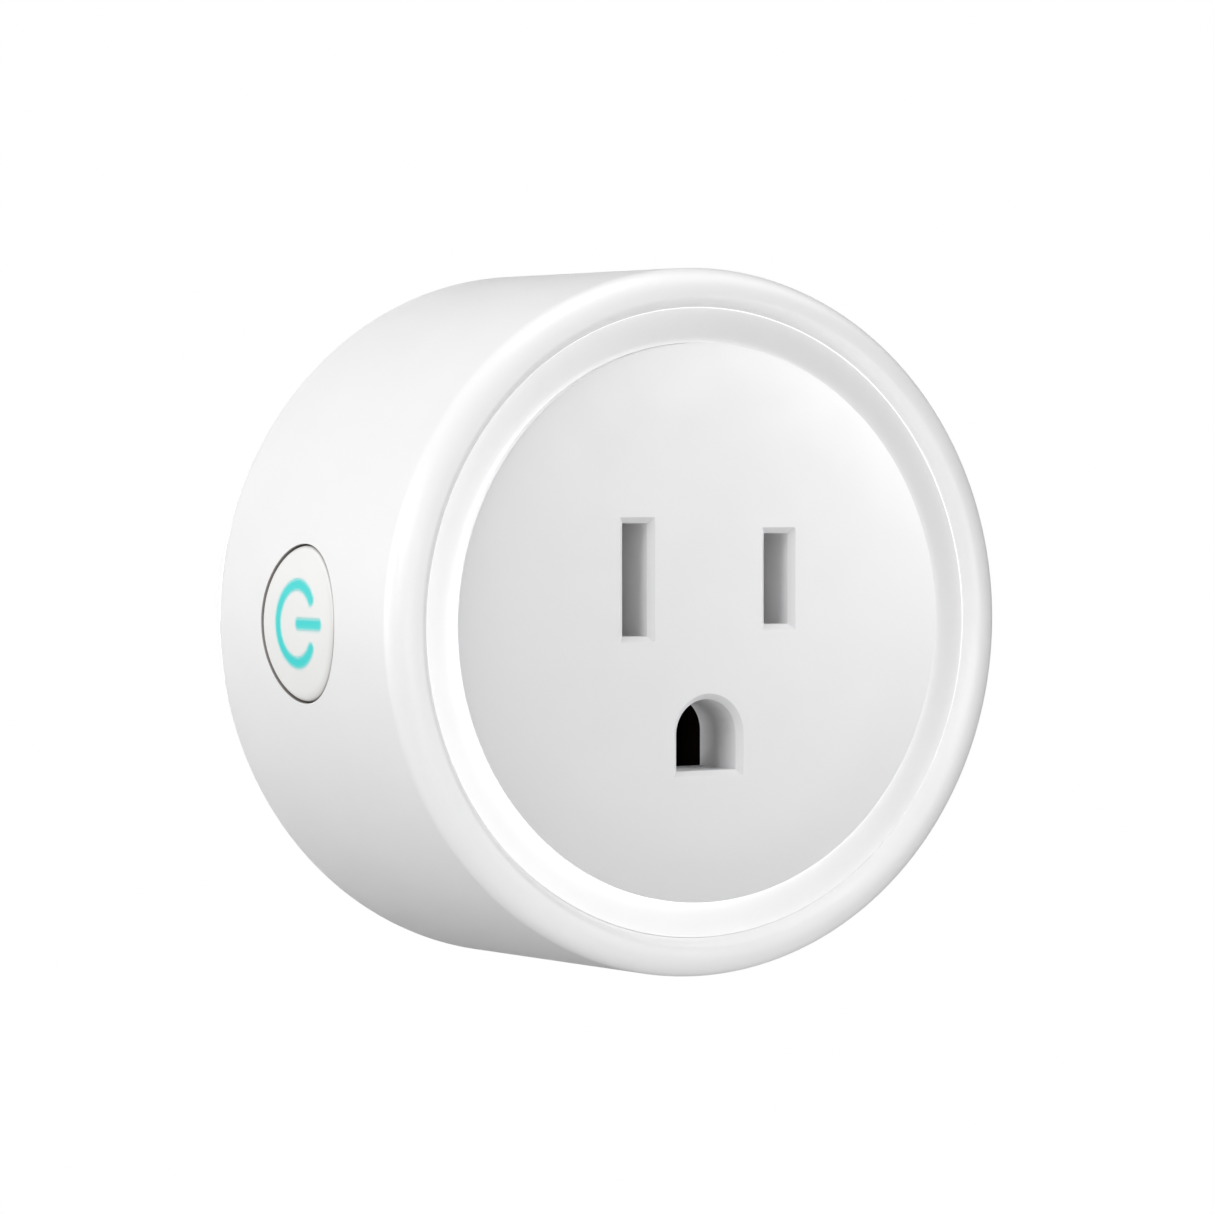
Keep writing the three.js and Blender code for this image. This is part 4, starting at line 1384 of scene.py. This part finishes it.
class Flag(Enum):
    """How a lamp is flagged off: pieces, whether it lights only them, and what may shade them."""

    PLATE = (("Socket_plate",), "INCLUDE", ())
    PLATE_EDGE = (("Socket_plate",), "INCLUDE", ("Socket_plate",))
    RING = (("Front_ring",), "INCLUDE", ("Front_ring",))
    REAR = (REAR_PIECES, "INCLUDE", ())
    REAR_EDGE = (("Side_shell",), "INCLUDE", ())
    REST = (("Socket_plate", "Front_ring", "ground_contact", *REAR_PIECES), "EXCLUDE", ())

    def collection(
        self, use: str, pieces: Sequence[str], state: str
    ) -> bpy.types.Collection | None:
        """A collection of the named pieces, all with one link state.

        Args:
            use: What the collection is for.
            pieces: Names of its pieces; none gives no collection.
            state: INCLUDE or EXCLUDE.

        Returns:
            The collection, made once for each flag and use.
        """
        name = f"{self.name.title()}_{use}"
        if not pieces or name in bpy.data.collections:
            return bpy.data.collections.get(name)
        made = bpy.data.collections.new(name)
        for piece in pieces:
            made.objects.link(bpy.data.objects[piece])
        for member in made.collection_objects:
            member.light_linking.link_state = state
        return made


@dataclass(frozen=True)
class SoftBox:
    """A square soft lamp that faces a point; sizes in millimetres, power in watts."""

    name: str
    flag: Flag
    place: tuple[float, float, float]
    power: float
    aim: tuple[float, float, float] = (-8, -16, 0)
    size: float = 170

    def build(self) -> None:
        """Makes the lamp."""
        lamp = bpy.data.lights.new(self.name, "AREA")
        lamp.shape, lamp.size, lamp.energy = "SQUARE", self.size * MM, self.power
        holder = bpy.data.objects.new(self.name, lamp)
        place, aim = Vector(self.place) * MM, Vector(self.aim) * MM
        holder.location = place
        holder.visible_camera = False
        holder.rotation_mode = "QUATERNION"
        holder.rotation_quaternion = (aim - place).to_track_quat("-Z", "Y")
        bpy.context.scene.collection.objects.link(holder)
        lit, state, shading = self.flag.value
        links = holder.light_linking
        links.receiver_collection = self.flag.collection("lit", lit, state)
        links.blocker_collection = self.flag.collection("shading", shading, "INCLUDE")


@dataclass
class Studio:
    """A pale floor, a white surround, soft lamps and the camera."""

    floor_z: float = -240.0
    floor_radius: float = 400.0
    floor_depth: float = 4.0
    ambient: float = 0.0
    azimuth: float = -30.007
    elevation: float = 1.391
    roll: float = 0.058
    distance: float = 268.517
    slide_right: float = 7.621
    slide_up: float = -1.226
    lens: float = 103.71
    aim: tuple[float, float, float] = (0.0, -28.5, 0.0)
    lamps: tuple[SoftBox, ...] = (
        SoftBox("Plate_lamp_1", Flag.PLATE, (-289, 146, 57), 0.073),
        SoftBox("Plate_lamp_2", Flag.PLATE, (-318, -16, -113), 0.033),
        SoftBox("Plate_lamp_3", Flag.PLATE, (-318, -129, 0), 0.34),
        SoftBox("Plate_lamp_4", Flag.PLATE, (-246, -102, 212), 0.39),
        SoftBox("Plate_lamp_5", Flag.PLATE, (154, -297, 57), 0.44),
        SoftBox("Plate_lamp_6", Flag.PLATE, (94, -106, 44), 0.065, (0, -28, 0), 60),
        SoftBox("Plate_edge_lamp", Flag.PLATE_EDGE, (-330, 30, -60), 0.4, (0, -28, 0)),
        SoftBox("Ring_lamp", Flag.RING, (900, -823, 900), 34.5, (0, -28, 0), 300),
        SoftBox("Shell_lamp_1", Flag.REST, (-289, 146, 57), 0.49),
        SoftBox("Shell_lamp_2", Flag.REST, (-299, -122, 113), 0.475),
        SoftBox("Shell_lamp_3", Flag.REST, (-170, -297, 57), 0.262),
        SoftBox("Shell_lamp_4", Flag.REST, (147, -285, -113), 0.309),
        SoftBox("Shell_lamp_5", Flag.REST, (154, -297, 57), 0.122),
        SoftBox("Shell_lamp_6", Flag.REST, (197, -71, 253), 0.218),
        SoftBox("Shell_lamp_7", Flag.REST, (0, -20, 330), 0.558, (0, -14, 0)),
        SoftBox("Shell_lamp_8", Flag.REST, (-130, -310, -70), 0.13),
        SoftBox("Rear_lamp_1", Flag.REAR, (230, 300, 130), 0.62, (0, 5, 0), 300),
        SoftBox("Rear_lamp_2", Flag.REAR, (-230, 300, 130), 0.52, (0, 5, 0), 300),
        SoftBox("Rear_lamp_3", Flag.REAR, (340, 90, 0), 0.3, (0, 8, 0), 300),
        SoftBox("Rear_lamp_4", Flag.REAR, (-340, 90, 0), 0.3, (0, 8, 0), 300),
        SoftBox("Rear_lamp_5", Flag.REAR, (0, 110, 330), 0.3, (0, 8, 0), 300),
        SoftBox("Rear_edge_lamp", Flag.REAR_EDGE, (0, 420, 0), 0.72, (0, 0, 0), 60),
    )

    def build(self) -> None:
        """Makes the studio."""
        self._surround()
        self._floor()
        for lamp in self.lamps:
            lamp.build()
        self._camera()
        bpy.context.scene.view_settings.view_transform = "Standard"

    def _surround(self) -> None:
        """White to the camera only: it lights the object by the ambient level."""
        world = bpy.data.worlds.new("Surround")
        world.use_nodes = True
        world.node_tree.nodes.clear()
        tree = world.node_tree
        seen = add_node(tree, "ShaderNodeLightPath").outputs["Is Camera Ray"]
        level = add_node(
            tree, "ShaderNodeMapRange", {"Value": seen, "To Min": self.ambient, "To Max": 1.0}
        ).outputs["Result"]
        sockets = {"Color": (1, 1, 1, 1), "Strength": level}
        background = add_node(tree, "ShaderNodeBackground", sockets)
        add_node(tree, "ShaderNodeOutputWorld", {"Surface": background.outputs["Background"]})
        bpy.context.scene.world = world

    def _floor(self) -> None:
        """A flat pale disc well below the object, turned from a line."""
        profile = np.array([[0.0, self.floor_z], [self.floor_radius, self.floor_z]])
        grid = turned(profile, 96)[..., [0, 2, 1]]
        skin = Skin()
        skin.grid(grid)
        skin.grid(grid - [0, 0, self.floor_depth])
        skin.grid(np.stack([grid[-1], grid[-1] - [0, 0, self.floor_depth]]))
        floor = skin.build("Floor")
        floor.data.materials.append(PAPER.material())

    def _camera(self) -> None:
        """The camera: it backs away from the aim along its two angles, then slides sideways."""
        a, e, r = (math.radians(v) for v in (self.azimuth, self.elevation, self.roll))
        back = Vector((math.sin(a) * math.cos(e), -math.cos(a) * math.cos(e), math.sin(e)))
        level = Vector((math.cos(a), math.sin(a), 0.0))
        rise = back.cross(level)
        right = math.cos(r) * level - math.sin(r) * rise
        up = math.sin(r) * level + math.cos(r) * rise
        place = Vector(self.aim) + self.distance * back
        place -= self.slide_right * right + self.slide_up * up
        data = bpy.data.cameras.new("Camera")
        data.lens, data.sensor_width = self.lens, 36.0
        data.clip_start, data.clip_end = 0.01, 10.0
        camera = bpy.data.objects.new("Camera", data)
        turn = Matrix((right, up, back)).transposed().to_4x4()
        camera.matrix_world = Matrix.Translation(place * MM) @ turn
        bpy.context.scene.collection.objects.link(camera)
        bpy.context.scene.camera = camera


def main() -> None:
    """Builds the sub-assemblies in order."""
    logging.basicConfig(level=logging.INFO, format="%(message)s")
    for kind in (Casing, FrontRing, SocketFace, RearCover, Prongs, PushButton, InnerWorks, Studio):
        kind().build()
        LOG.info("built %s", kind.__name__)


if __name__ == "__main__":
    main()
